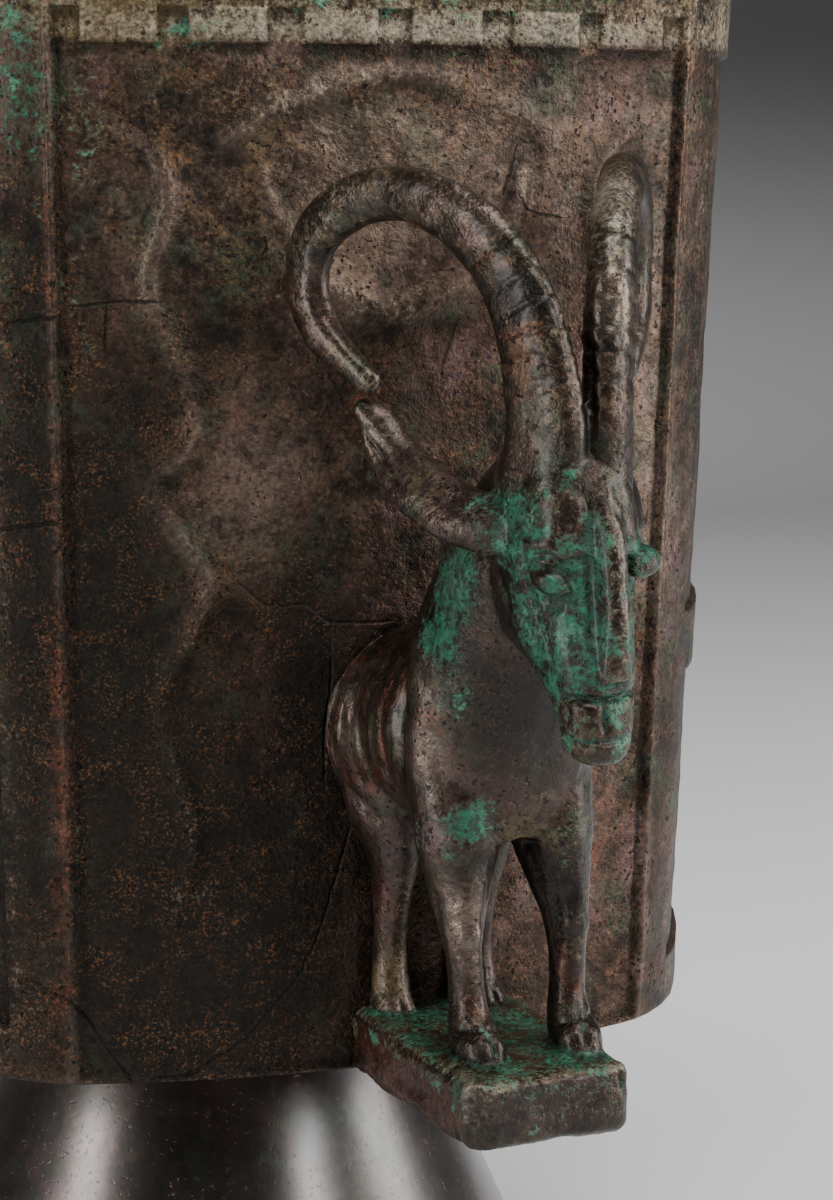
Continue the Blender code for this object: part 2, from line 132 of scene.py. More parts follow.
# %% Humps, soft steps and distances to a path
def humps(points, size, seed):
    """Smooth random values from -1 to 1 over points; size is the distance between humps."""
    cell = points / size
    base = np.floor(cell).astype(np.int64)
    part = cell - base
    part = part * part * (3 - 2 * part)
    total = np.zeros(len(points))
    for corner in np.ndindex(2, 2, 2):
        x, y, z = (base + corner).T
        mixed = (x * 73856093) ^ (y * 19349663) ^ (z * 83492791) ^ (seed * 40503)
        mixed = ((mixed ^ (mixed >> 13)) * 1274126177) & 0xFFFFFFFF
        mixed = mixed ^ (mixed >> 16)
        weight = np.prod(np.where(np.array(corner) == 1, part, 1 - part), axis=1)
        total += ((mixed & 0xFFFF) / 32767.5 - 1) * weight
    return total


def soft(value, low, high):
    """0 below low, 1 above high, and a smooth rise between."""
    share = np.clip((value - low) / (high - low), 0, 1)
    return share * share * (3 - 2 * share)


def run_through(knots, steps):
    """Rows of numbers run smoothly through the knots."""
    table = np.array(knots, dtype=float)
    padded = np.vstack([2 * table[0] - table[1], table, 2 * table[-1] - table[-2]])
    share = np.linspace(0, 1, steps, endpoint=False)[:, None]
    rows = []
    for before, start, end, after in zip(padded, padded[1:], padded[2:], padded[3:]):
        rows.append(0.5 * (2 * start + (end - before) * share
                           + (2 * before - 5 * start + 4 * end - after) * share ** 2
                           + (3 * start - before - 3 * end + after) * share ** 3))
    return np.vstack([*rows, table[-1:]])


def to_path(points, path):
    """Distance from points to a path, how far along they lie (0 to 1), and their side of it."""
    path = np.array(path, dtype=float)
    lengths = np.linalg.norm(np.diff(path, axis=0), axis=1)
    reached = np.concatenate([[0], np.cumsum(lengths)])
    nearest = np.full(len(points), 1e9)
    along = np.zeros(len(points))
    side = np.ones(len(points))
    for i, (start, end) in enumerate(zip(path, path[1:])):
        step = end - start
        share = np.clip((points - start) @ step / (step @ step), 0, 1)
        gap = points - start - share[:, None] * step
        distance = np.linalg.norm(gap, axis=1)
        closer = distance < nearest
        nearest[closer] = distance[closer]
        along[closer] = (reached[i] + share[closer] * lengths[i]) / reached[-1]
        if points.shape[1] == 2:
            turned = step[0] * gap[:, 1] - step[1] * gap[:, 0]
            side[closer] = np.where(turned[closer] < 0, -1, 1)
    return nearest, along, side


# %% [markdown]
# The cup, the foot and each limb of the ibex are sheets wrapped round and closed at both ends.
# A flat grid is added, its rows are laid one above the other round the form, and the seam and
# the two ends are sewn by merging their doubled points. Every row then falls where a line of
# the casting needs it, which an even subdivision can't do.

# %% Wrap a sheet round a form
def wrap_sheet(name, rows):
    """rows holds rows x columns x 3 millimetres; the last column repeats the first."""
    count, across = rows.shape[:2]
    bpy.ops.object.select_all(action='DESELECT')
    bpy.ops.mesh.primitive_grid_add(x_subdivisions=across - 1, y_subdivisions=count - 1,
                                    size=1, location=(0, 0, 0))
    sheet = bpy.context.object
    sheet.name = name
    move_points(sheet, rows.reshape(-1, 3))
    bpy.ops.object.mode_set(mode='EDIT')
    bpy.ops.mesh.select_all(action='SELECT')
    bpy.ops.mesh.remove_doubles(threshold=0.000002)
    bpy.ops.mesh.normals_make_consistent(inside=False)
    bpy.ops.object.mode_set(mode='OBJECT')
    bpy.ops.object.shade_smooth()
    return sheet


def keep_mask(piece, name, values):
    """Store a value at each point, for the materials to read."""
    layer = piece.data.attributes.new(name, 'FLOAT', 'POINT')
    layer.data.foreach_set("value", np.ascontiguousarray(values, dtype=np.float32))


# %% [markdown]
# ## The cup's wall
# Seen from above, the facade is a shallow bow between two creased corners, and behind them the
# wall eases into a circle. The wall leans out a little towards the rim. Radius against angle
# describes both, so the whole relief can be pushed in or out along the radius.

# %% Plan of the cup
cup_low, cup_high = (np.array(corner) * 1000 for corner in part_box("cup"))
foot_low, foot_high = (np.array(corner) * 1000 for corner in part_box("conical_foot"))
AXIS_Y = (foot_low[1] + foot_high[1]) / 2
CUP_BASE = cup_low[2]
CUP_HEIGHT = cup_high[2] - cup_low[2]
CUP_RADIUS = 88.5
CUP_FLARE = 9.4
BOW_RADIUS = 156.0
FACADE_REACH = 91.2
FACADE_HALF_WIDTH = 52.2
RECESS = 1.2
CORNER = math.atan2(FACADE_HALF_WIDTH, math.sqrt(BOW_RADIUS ** 2 - FACADE_HALF_WIDTH ** 2)
                    - (BOW_RADIUS - FACADE_REACH))


def bow_radius(turn):
    setback = BOW_RADIUS - FACADE_REACH
    return np.sqrt(BOW_RADIUS ** 2 - (setback * np.sin(turn)) ** 2) - setback * np.cos(turn)


def wall_radius(angle, up):
    turn = np.abs((angle + np.pi) % (2 * np.pi) - np.pi)
    ease = np.exp(-((turn - CORNER) / math.radians(20)) ** 2)
    side = CUP_RADIUS + (bow_radius(CORNER) - CUP_RADIUS) * ease
    return np.where(turn <= CORNER, bow_radius(turn), side) + CUP_FLARE * up / CUP_HEIGHT


print("Cup", np.round(cup_high - cup_low, 1), "mm, creases at", round(math.degrees(CORNER), 1))

# %% [markdown]
# The facade carries two serpents that come down its sides, a crescent that holds a disc, and a
# low arch over them, all soft as wax and worn lower since. Their middle lines were measured on
# the facade in millimetres across and up. A row of dentils hangs over them from the top band.

# %% Lines of the relief
SERPENT = run_through([
    (45.8, 156.8), (39.8, 151.9), (37.3, 143.8), (40.1, 130.5), (33.8, 109.0), (40.2, 98.5),
    (31.6, 83.0), (38.2, 64.0), (33.2, 41.2), (37.5, 25.8)], 8)
CRESCENT_UP = 150.0
CRESCENT_RADIUS = 22.5
sweep = np.linspace(math.radians(182), math.radians(358), 40)
CRESCENT = np.column_stack([CRESCENT_RADIUS * np.cos(sweep),
                            CRESCENT_UP + CRESCENT_RADIUS * np.sin(sweep)])
DISC_RADIUS = 8.2
SERPENT_HEIGHT = 1.7
ARCH_HEIGHT = 1.25
DISC_HEIGHT = 0.55
span = np.linspace(-1, 1, 25)
ARCH = np.column_stack([28.5 * span, 154.5 + 10.8 * (1 - span ** 2)])
DENTILS = [(-45.3, 11.6), (-28.6, 12.2), (-10.3, 12.1), (8.0, 12.4), (26.5, 12.2), (44.0, 13.1)]
BAND_FROM = 169.5
SLOTS_TO = 175.1
PANEL_BARS = [(9.5, 61.0), (72.4, 169.5)]
PILASTER = 10.0 / CUP_RADIUS
SIDE_PANELS = 8
PANEL = (2 * (math.pi - CORNER - PILASTER) - (SIDE_PANELS - 1) * PILASTER) / SIDE_PANELS
PANEL_STARTS = [CORNER + PILASTER + i * (PANEL + PILASTER) for i in range(SIDE_PANELS)]
print("Dentils:", len(DENTILS), "and panels round the side:", 2 * SIDE_PANELS)


# %% Height of the relief at any place of the wall
def facade_figures(across, up):
    """Serpents, crescent, disc and arch, in millimetres above the field."""
    places = np.column_stack([np.abs(across), up])
    distance, along, _ = to_path(places, SERPENT)
    body = np.minimum(1, 0.5 + 4 * along) * (1 - 0.45 * along ** 2)
    height = SERPENT_HEIGHT * body * np.exp(-(distance / (2.2 * body)) ** 2)
    height = height * np.where(across < 0, 1, 0.45)
    places = np.column_stack([across, up])
    distance, along, _ = to_path(places, CRESCENT)
    full = np.sin(math.radians(10) + math.radians(160) * along) * (1 - 0.55 * soft(along, 0.7, 0.95))
    height = np.maximum(height, (0.7 + 1.1 * full) * np.exp(-(distance / (0.8 + 2.9 * full)) ** 2.6))
    distance, along, _ = to_path(places, ARCH)
    low_end = 1 - 0.6 * soft(along, 0.5, 0.75)
    height += ARCH_HEIGHT * low_end * np.exp(-(distance / 2.4) ** 2)
    out = np.hypot(across, up - CRESCENT_UP)
    height += DISC_HEIGHT * np.exp(-(out / DISC_RADIUS) ** 4)
    return height + 0.35 * np.exp(-((np.abs(across) - 26) / 9) ** 2) * soft(up, 70, 110)


def wall_relief(angle, up):
    """Outward height of the outer wall above its plain form."""
    turn = np.abs((angle + np.pi) % (2 * np.pi) - np.pi)
    across = wall_radius(angle, up) * np.sin(angle)
    crease = (wall_radius(CORNER, up)) * math.sin(CORNER)
    inset = np.where(turn <= CORNER, crease - np.abs(across), -1)
    hang = np.zeros(len(up))
    for middle, width in DENTILS:
        hang = np.maximum(hang, soft(width / 2 - np.abs(across - middle), -0.5, 0.6))
    slots = 0.7 * soft(SLOTS_TO - up, -0.4, 0.6) * (1 - hang)
    field = np.maximum(soft(BAND_FROM - up, -0.5, 0.6), slots) * soft(inset, 0.8, 1.7)
    groove = np.exp(-((inset - 1.35) / 0.4) ** 2) * soft(up, 9.0, 12.0)
    bead = np.exp(-((inset - 0.45) / 0.45) ** 2)
    height = 0.3 * bead - RECESS * field - 0.35 * groove * soft(BAND_FROM - up, -0.2, 0.3)
    near = (inset > 1.2) & (up < 175)
    figures = np.zeros(len(up))
    figures[near] = facade_figures(across[near], up[near])
    height = height + figures * soft(inset, 1.5, 3.0)
    panel = np.zeros(len(up))
    for start in PANEL_STARTS:
        round_to = (angle - start) % (2 * np.pi)
        edge = np.minimum(round_to, PANEL - round_to) * CUP_RADIUS
        panel = np.maximum(panel, np.where(round_to < PANEL, soft(edge, -0.05, 0.4), 0))
    bars = np.zeros(len(up))
    for bottom, top in PANEL_BARS:
        bars = np.maximum(bars, soft(np.minimum(up - bottom, top - up), -0.2, 0.3))
    return height - RECESS * panel * bars


# %% [markdown]
# The sheet's columns stand close together on the facade, where the relief is, and in pairs at
# every edge of a panel, so that a step stays crisp. Its rows start at the middle of the
# underside, climb the wall, turn over the rim, go down inside and end in the floor's middle.

# %% Columns round the cup
def pair_at(places, edges, half_gap=0.22):
    """Move the two nearest places to either side of each edge."""
    places = np.array(places)
    for edge in edges:
        after = int(np.searchsorted(places, edge))
        places[after - 1] = edge - half_gap
        places[after] = edge + half_gap
    return places


fine_angles = np.linspace(-CORNER, CORNER, 4001)
fine_across = wall_radius(fine_angles, np.full(4001, 172.0)) * np.sin(fine_angles)
dentil_edges = [middle + side * width / 2 for middle, width in DENTILS for side in (-1, 1)]
reach = fine_across[-1] - 1.9
facade_columns = pair_at(np.linspace(-reach, reach, 176), dentil_edges)
near_crease = fine_across[-1] - np.array([1.55, 1.2, 0.9, 0.7, 0.5, 0.3, 0.1])
facade_columns = np.concatenate([-near_crease[::-1], facade_columns, near_crease])
facade_angles = np.interp(facade_columns, fine_across, fine_angles)
side_steps = [0.0, 0.25, 0.6, 2.0, 4.0, 6.0, 8.0]
side_angles = [CORNER + step / CUP_RADIUS for step in side_steps]
for start in PANEL_STARTS:
    edge = 0.2 / CUP_RADIUS
    side_angles += [start - edge, start + 2 * edge]
    side_angles += list(np.linspace(start, start + PANEL, 9)[1:-1])
    side_angles += [start + PANEL - 2 * edge, start + PANEL + edge]
    if start < PANEL_STARTS[-1]:
        side_angles.append(start + PANEL + PILASTER / 2)
side_angles += [2 * math.pi - angle for angle in
                [CORNER + step / CUP_RADIUS for step in side_steps[::-1]]]
cup_angles = np.concatenate([facade_angles, side_angles, facade_angles[:1] + 2 * math.pi])
print("Columns round the cup:", len(cup_angles))

# %% Rows from the underside over the rim to the floor
WALL = 5.5
FLOOR_UP = 6.0
ROUNDING = 1.2
turns = np.radians(np.linspace(0, 90, 5))
rows = [(share, 0.0, ROUNDING) for share in (0, 0.25, 0.5, 0.72, 0.86, 0.94)]
rows += [(1.0, ROUNDING * (1 - math.cos(a)), ROUNDING * (1 - math.sin(a))) for a in turns]
bar_edges = [edge for bars in PANEL_BARS for edge in bars] + [SLOTS_TO]
climb = pair_at(np.linspace(2.0, 193.6, 240), bar_edges)
rows += [(1.0, up, 0.0) for up in climb]
rows += [(1.0, up, out) for up, out in (
    (194.0, -0.1), (194.4, -0.6), (195.2, -1.1), (196.2, -1.2), (197.6, -1.2), (198.8, -1.1),
    (199.6, -0.7), (200.0, 0.2), (200.0, 2.6), (199.9, 4.6), (199.4, 5.3), (198.0, WALL))]
rows += [(1.0, up, WALL) for up in np.linspace(190, 14, 12)]
rows += [(1.0, 9.0, WALL + 0.2), (1.0, 7.0, WALL + 1.2), (1.0, FLOOR_UP + 0.2, WALL + 3)]
rows += [(share, FLOOR_UP, WALL + 4) for share in (0.97, 0.8, 0.55, 0.3, 0)]
rows = np.array(rows)
print("Rows on the cup:", len(rows), "so", 2 * len(rows) * len(cup_angles), "triangles at most")

# %% Wrap the cup and press its relief
share, up, inward = (rows[:, i:i + 1] for i in range(3))
radius = (wall_radius(cup_angles[None, :], up) - inward) * share
sheet = np.stack([radius * np.sin(cup_angles), AXIS_Y - radius * np.cos(cup_angles),
                  CUP_BASE + np.broadcast_to(up, radius.shape)], axis=-1)
sheet[:, -1] = sheet[:, 0]
cup = wrap_sheet("cup_bronze", sheet)
cup_points = points_of(cup)
cup_angle = np.arctan2(cup_points[:, 0], AXIS_Y - cup_points[:, 1])
cup_up = cup_points[:, 2] - CUP_BASE
cup_out = np.hypot(cup_points[:, 0], cup_points[:, 1] - AXIS_Y)
outer = cup_out > wall_radius(cup_angle, cup_up) - 1.5
lift = np.zeros(len(cup_points))
lift[outer] = wall_relief(cup_angle[outer], cup_up[outer])
keep = soft(cup_up, 0.4, 1.6) * soft(200 - cup_up, 5.5, 7.0)
lift = lift * keep
waves = 0.22 * humps(cup_points, 19, 1) + 0.17 * humps(cup_points, 7, 2)
waves += 0.13 * humps(cup_points, 2.8, 3) + 0.05 * humps(cup_points, 1.3, 4)
lift += np.where(outer, waves - 0.12, 0.6 * waves) * soft(cup_out, 2, 30) * 0.8
direction = np.column_stack([np.sin(cup_angle), -np.cos(cup_angle), np.zeros(len(cup_angle))])
cup_points = np.clip(cup_points + direction * lift[:, None], cup_low + 0.01, cup_high - 0.01)
move_points(cup, cup_points)
cup_across = cup_points[:, 0]
print("Cup:", len(cup.data.polygons), "faces")

# %% [markdown]
# ## Cracks and colours of the cup
# The wall is crossed by fine casting cracks. A line that thin would need far too many faces, so
# each point keeps its signed distance to the nearest crack, which the material turns into a
# crisp line. Patches of green, pale, red and worn metal are kept in the same way, as soft spots
# whose edges the material breaks up. Some worn spots are painted highlights, and most dark
# spots are painted shade and shadow.

# %% Cracks of the facade
CRACKS = {
    "a": [[(-39.7, 129.0), (-43.8, 129.1), (-47.6, 128.8), (-51.3, 128.3)],
          [(-62.3, 92.6), (-54.8, 94.1)],
          [(-38.0, 0.8), (-34.0, 1.1), (-29.1, 3.4), (-23.3, 7.3), (-19.2, 12.2), (-15.0, 17.1),
           (-11.6, 24.6), (-9.1, 33.0), (-6.6, 41.3)],
          [(-25.6, 83.3), (-20.9, 79.8), (-14.7, 79.6), (-10.4, 76.6), (-0.5, 76.1)],
          [(22.0, 145.2), (24.0, 143.0), (29.6, 142.0)]],
    "b": [[(-57.2, 17.3), (-55.0, 15.9), (-53.0, 15.2), (-49.1, 10.3), (-46.0, 5.1), (-42.8, 0.6)],
          [(-60.2, 125.8), (-55.0, 126.6)],
          [(-10.4, 76.0), (-10.3, 66.9), (-11.2, 58.6), (-11.1, 50.1)],
          [(21.2, 153.1), (19.8, 148.3), (19.0, 145.8)],
          [(10.7, 124.7), (8.9, 119.2), (8.4, 115.7)],
          [(-46.4, 127.5), (-46.8, 122.0)]],
}
front_places = np.column_stack([cup_across, cup_up])
on_front = outer & (np.cos(cup_angle) > 0.4)
for group, cracks in CRACKS.items():
    signed = np.full(len(cup_points), 9.0)
    for crack in cracks:
        distance, along, side = to_path(front_places, run_through(crack, 5))
        closer = (distance < np.abs(signed)) & on_front
        signed[closer] = (distance * side)[closer]
    keep_mask(cup, "crack_" + group, np.clip(signed, -3, 3))
    near = np.exp(-(np.minimum(np.abs(signed), 9) / 1.1) ** 4)
    keep_mask(cup, "crack_" + group + "_near", near)
print("Cracks:", sum(len(cracks) for cracks in CRACKS.values()))


# %% Colour patches of the cup
def patches(places, spots):
    """Soft oval spots: (across, up, half width, half height, strength)."""
    total = np.zeros(len(places))
    for across, up, wide, high, strength in spots:
        out = ((places[:, 0] - across) / wide) ** 2 + ((places[:, 1] - up) / high) ** 2
        total = np.maximum(total, strength * np.exp(-out))
    return total


band = soft(cup_up, BAND_FROM - 1, BAND_FROM + 2)
turned = np.cos(cup_angle) < 0.45
shown = outer & ~turned
pale_crust_and_highlight = band * 0.33 + patches(front_places, [
    (-56, 178, 10, 22, 0.12), (-24, 161, 20, 4, 0.3), (0, 172, 50, 2.5, 0.5), (12, 146, 20, 22, 0.12),
    (-4, 128, 14, 5, 0.2), (-7, 160, 9, 8, 0.3)])
green = patches(front_places, [
    (-40, 182, 16, 7, 0.66), (-12, 180, 18, 6, 0.66), (12, 179, 14, 6, 0.55), (-60, 165, 8, 24, 0.58),
    (-50, 150, 3, 30, 0.42), (30, 178, 16, 6, 0.5), (-34, 172, 8, 3, 0.5)])
red = patches(front_places, [
    (-27, 112, 9, 6, 0.55), (-24, 58, 5, 3, 0.4), (-54, 40, 2.5, 70, 0.55), (38, 90, 10, 30, 0.45),
    (36, 36, 10, 34, 0.72), (22, 100, 8, 14, 0.4), (-36, 172, 30, 2.4, 0.5), (-4, 110, 10, 12, 0.45),
    (-33, 150, 8, 10, 0.35)])
# Lighter metal: real wear on the relief and crease, and painted highlight in some spots, such as by the
# crescent's left arm and on the right of the field.
wear_and_highlight = patches(front_places, [
    (-22, 100, 15, 20, 0.72), (18, 150, 26, 24, 0.6), (34, 124, 12, 40, 0.12), (-8, 146, 20, 26, 0.74),
    (-4, 128, 12, 4, 0.4), (-38, 146, 18, 24, 0.50), (50, 120, 8, 60, 0.6), (36, 52, 12, 34, 0.62),
    (-54, 170, 8, 30, 0.3), (-30, 168, 30, 3, 0.5), (-20, 154, 14, 9, 0.5)])
ochre = 0.08 + band * 0.45 + patches(front_places, [
    (-30, 150, 22, 20, 0.35), (0, 150, 40, 26, 0.2), (-16, 40, 4, 30, 0.4), (-45, 175, 12, 10, 0.6)])
# Dark spots: most are painted shade on the lower left of the facade, and the ibex's painted shadow on
# the wall left of its body and neck.
soot_and_shade = patches(front_places, [
    (-30, 24, 32, 48, 1.15), (-14, 52, 9, 40, 1.25), (-46, 66, 14, 60, 1.0), (-58, 80, 5, 90, 1.0),
    (-36, 120, 12, 24, 0.35), (46, 145, 3, 16, 0.7), (-10, 78, 12, 4, 0.8)])
inside = np.where(outer, 0, 0.9) * soft(cup_up, 3, 5)
near = on_front & (cup_up > 12) & (cup_up < 172)
figures = np.zeros(len(cup_points))
figures[near] = facade_figures(cup_across[near], cup_up[near])
crease_out = np.abs(np.abs(cup_angle) - CORNER) * CUP_RADIUS
ridge = np.exp(-(crease_out / 1.3) ** 2)
wear_and_highlight = np.maximum.reduce([wear_and_highlight, wear_and_highlight + 0.08 * soft(figures, 0.3, 1.4), 0.5 * ridge])
red = np.maximum(red, 0.5 * ridge * soft(cup_up, 20, 150))
for name, on_shown, on_back, within in (
        ("pale_crust_and_highlight", pale_crust_and_highlight, 0.3 * band, 0.05), ("green", green, 0.3 * band + 0.18, 0.1),
        ("red", red, 0.3, 0.15), ("wear_and_highlight", wear_and_highlight, 0.4, 0.0), ("ochre", ochre, 0.3 * band + 0.1, 0.1),
        ("soot_and_shade", soot_and_shade, 0.3, inside)):
    keep_mask(cup, name, np.where(shown, on_shown, np.where(outer, on_back, within)))
print("Cup masks are kept")

# %% [markdown]
# ## The foot
# The foot is a plain hollow cone, turned smooth in the wax, with a low ring where it meets the
# ground. The same wrapped sheet makes it: up outside, over the top, and down again inside.

# %% Foot
FOOT_HEIGHT = foot_high[2]
FOOT_TOP = 34.4
FOOT_BOTTOM = 67.8
FOOT_WALL = 4.5
FOOT_PLATE = 6.0
lean = (FOOT_BOTTOM - FOOT_TOP) / CUP_BASE
ceiling = FOOT_HEIGHT - FOOT_PLATE
outline = [(0, 0, ceiling)]
outline += [(1, FOOT_TOP + lean * (FOOT_HEIGHT - up) - FOOT_WALL, up)
            for up in np.linspace(ceiling - 0.5, 2, 26)]
outline += [(1, FOOT_BOTTOM - FOOT_WALL, 0.4), (1, FOOT_BOTTOM - FOOT_WALL + 0.5, 0),
            (1, FOOT_BOTTOM, 0), (1, 68.4, 0.25), (1, 68.95, 0.8), (1, 69.1, 1.8),
            (1, 69.1, 3.6), (1, 68.7, 4.7), (1, 67.6, 5.5), (1, 66.2, 6.4)]
outline += [(1, FOOT_TOP + lean * (CUP_BASE - up) - 0.08, up) for up in np.linspace(8, 73.8, 64)]
outline += [(1, FOOT_TOP - 0.35, 75.2), (1, FOOT_TOP - 1.3, FOOT_HEIGHT),
            (1, FOOT_TOP * 0.8, FOOT_HEIGHT), (1, FOOT_TOP * 0.4, FOOT_HEIGHT), (0, 0, FOOT_HEIGHT)]
outline = np.array(outline)
foot_turn = np.linspace(0, 2 * math.pi, 241)
reach = outline[:, 1:2] * outline[:, 0:1]
sheet = np.stack([reach * np.sin(foot_turn), AXIS_Y - reach * np.cos(foot_turn),
                  np.broadcast_to(outline[:, 2:3], (len(outline), len(foot_turn)))], axis=-1)
sheet[:, -1] = sheet[:, 0]
foot = wrap_sheet("foot_bronze", sheet)
foot_points = points_of(foot)
from_axis = foot_points[:, :2] - (0, AXIS_Y)
foot_out = np.hypot(*from_axis.T)
waves = 0.10 * humps(foot_points, 21, 11) + 0.05 * humps(foot_points, 7, 12) - 0.05
waves = waves * soft(foot_points[:, 2], 0.5, 6) * soft(FOOT_HEIGHT - foot_points[:, 2], 0.5, 4)
foot_points[:, :2] += from_axis / np.maximum(foot_out, 1)[:, None] * waves[:, None]
foot_points = np.clip(foot_points, foot_low + 0.005, foot_high - 0.005)
move_points(foot, foot_points)
for name, value in (("pale_crust_and_highlight", 0), ("green", 0), ("red", 0.3), ("wear_and_highlight", 0.12), ("ochre", 0),
                    ("soot_and_shade", 0.1)):
    keep_mask(foot, name, np.full(len(foot_points), float(value)))
print("Foot:", len(foot.data.polygons), "faces")

# %% [markdown]
# ## The ibex
# The animal was modelled in wax round its own bones: body, neck, head, four legs, ears and two
# great horns, all run together. It is made in the same order here. Each limb is a wrapped sheet
# through measured sections, a voxel remesh fuses them into one skin, and smoothing eases the
# joins. The details are then carved into that skin. Sections are (across, forward of the wall,
# up from the plinth, half width, half depth), in millimetres.

# %% Sections of the ibex
IBEX_ACROSS = 10.0
PLINTH_ACROSS = 8.5
PLINTH_WIDE = 29.0
PLINTH_LONG = 47.5
PLINTH_THICK = 11.8
PLINTH_DROP = 0.8
PLINTH_SKEW = 3.2
HOOF_SINK = 2.0
TRUNK = [
    (0, -6, 50, 17.6, 16.4), (0, 0, 50, 18.6, 17.4), (0, 4, 50, 18.6, 17.5),
    (0, 12, 51, 16.3, 17), (0, 21, 50.5, 15, 17), (0, 28, 48, 14.2, 15), (0, 33, 46, 11, 12),
    (0, 36.5, 45, 4, 5)]
NECK = [
    (0, 24, 36, 13.5, 10), (0, 25, 46, 15.4, 12), (0, 26, 56, 15.2, 13), (0, 28, 66, 14.2, 14),
    (0, 32, 76, 12.4, 14.5), (0, 38, 85, 10.2, 13.5), (0, 45, 92, 8, 10.5)]
HEAD = [
    (0, 49, 102, 6, 7), (0, 48.5, 96, 9.0, 11.5), (0, 48.0, 87, 9.9, 14.0),
    (0, 49.0, 79, 9.5, 14.4), (0, 54.8, 70.5, 7.3, 9.6), (0, 59.2, 63, 5.9, 6.2),
    (0, 60.8, 57.5, 5.3, 4.7), (0, 61, 54.6, 4.5, 4.0), (0, 60.8, 53.0, 2.8, 2.6)]
NOSE_RIDGE = [
    (1.3, 55.4, 98.5, 2.2, 2.0), (1.2, 60.6, 88, 2.5, 2.9), (1.2, 63.0, 78, 2.5, 2.8),
    (1.3, 64.4, 70, 2.7, 2.5), (1.3, 64.8, 65.6, 2.8, 2.1)]
FRONT_LEG = [
    (7.5, 25, 48, 7.5, 9), (8.2, 28, 36, 6.6, 7.4), (8.6, 29.5, 30, 5.2, 6),
    (9.1, 31.3, 23, 3.7, 4.3), (9.0, 32.3, 16, 2.8, 3.3), (8.7, 32.8, 10, 2.9, 3.3),
    (8.6, 34.0, 6, 3.6, 4.1), (8.5, 36.2, 2.6, 4.0, 5.2), (8.5, 38.0, -1.5, 4.7, 6.4)]
HIND_LEG = [
    (9.0, 3, 48, 8.5, 11), (8.6, 5, 36, 6.6, 8), (8.0, 5.5, 28, 4, 5.4), (7.9, 4.5, 19, 2.8, 3.6),
    (7.9, 3.8, 12, 2.7, 3.2), (8.0, 4.5, 6, 3.1, 3.5), (8.2, 5.6, 2, 3.6, 4.4),
    (8.3, 6.5, -1.5, 4.4, 5.2)]
EAR = [
    (6, 49, 87.5, 4.8, 3.6), (12, 43, 88, 4.9, 2.9), (15, 37.5, 89.9, 5.0, 2.4),
    (17.4, 31.5, 93.2, 4.7, 2.2), (18.8, 26, 97.4, 4.0, 1.9), (20.4, 22.7, 101.9, 3.0, 1.5),
    (22.3, 20.3, 104.6, 1.4, 1.0)]
EAR_LEAN = (-0.74, 0.2, 0.66)
HORN = [
    (1.0, 88, 6.4, 3.1), (0.0, 97, 7.2, 3.3), (-0.3, 106, 6.7, 3.2), (3.9, 121, 5.8, 3.1),
    (12.5, 131.5, 5.0, 3.0), (24.8, 136.8, 4.3, 2.9), (35.8, 136.1, 4.2, 2.8),
    (44.3, 130.8, 4.1, 2.8), (46.5, 122.6, 3.8, 2.7), (43.3, 115.0, 3.2, 2.5),
    (34.2, 108.3, 2.1, 1.8), (32.6, 107.2, 1.0, 0.9)]
HORN_FOOT = (5.4, 52.5)
HORN_SPLAY = {-1: math.radians(28), 1: math.radians(31)}
HORN_STRETCH = {-1: 1.0, 1: 1.045}

# %% From the ibex's own measures to the world, and back
front_angle = np.interp(IBEX_ACROSS, wall_radius(fine_angles, 0 * fine_angles)
                        * np.sin(fine_angles), fine_angles)
WALL_Y = AXIS_Y - (float(wall_radius(front_angle, 0.0)) - RECESS) * math.cos(front_angle)
FIGURE_UP = CUP_BASE - PLINTH_DROP + PLINTH_THICK - HOOF_SINK


def sway(forward, up):
    """The hindquarters stand a little to one side of the forelegs."""
    return -2.5 * np.clip((33 - forward) / 29, 0, 1) * np.clip((84 - up) / 16, 0, 1)


def to_world(places):
    across, forward, up = np.moveaxis(np.asarray(places, dtype=float), -1, 0)
    return np.stack([IBEX_ACROSS + across + sway(forward, up), WALL_Y - forward,
                     FIGURE_UP + up], axis=-1)


def to_figure(points):
    forward = WALL_Y - points[:, 1]
    up = points[:, 2] - FIGURE_UP
    return np.column_stack([points[:, 0] - IBEX_ACROSS - sway(forward, up), forward, up])


# %% Wrap a limb
def limb(name, centres, half_wide, half_deep, lean, sides=28, boxy=1.0):
    """A closed limb with oval sections square to its path."""
    tangents = np.gradient(centres, axis=0)
    tangents /= np.linalg.norm(tangents, axis=1)[:, None]
    first = lean - tangents * (tangents @ lean)[:, None]
    first /= np.linalg.norm(first, axis=1)[:, None]
    second = np.cross(tangents, first)
    turn = np.linspace(0, 2 * math.pi, sides + 1)
    cos, sin = np.cos(turn), np.sin(turn)
    cos, sin = np.sign(cos) * np.abs(cos) ** boxy, np.sign(sin) * np.abs(sin) ** boxy
    rings = (centres[:, None] + first[:, None] * (half_wide[:, None] * cos)[..., None]
             + second[:, None] * (half_deep[:, None] * sin)[..., None])
    ends = [np.repeat(centres[i][None, None], sides + 1, axis=1) for i in (0, -1)]
    sheet = to_world(np.concatenate([ends[0], rings, ends[1]]))
    sheet[:, -1] = sheet[:, 0]
    return wrap_sheet(name, sheet)


def limb_through(name, rows, side=1, lean=(1, 0, 0), boxy=1.0):
    table = run_through(rows, 6)
    return limb(name, table[:, :3] * (side, 1, 1), table[:, 3], table[:, 4],
                np.array(lean, dtype=float) * (side, 1, 1), boxy=boxy)


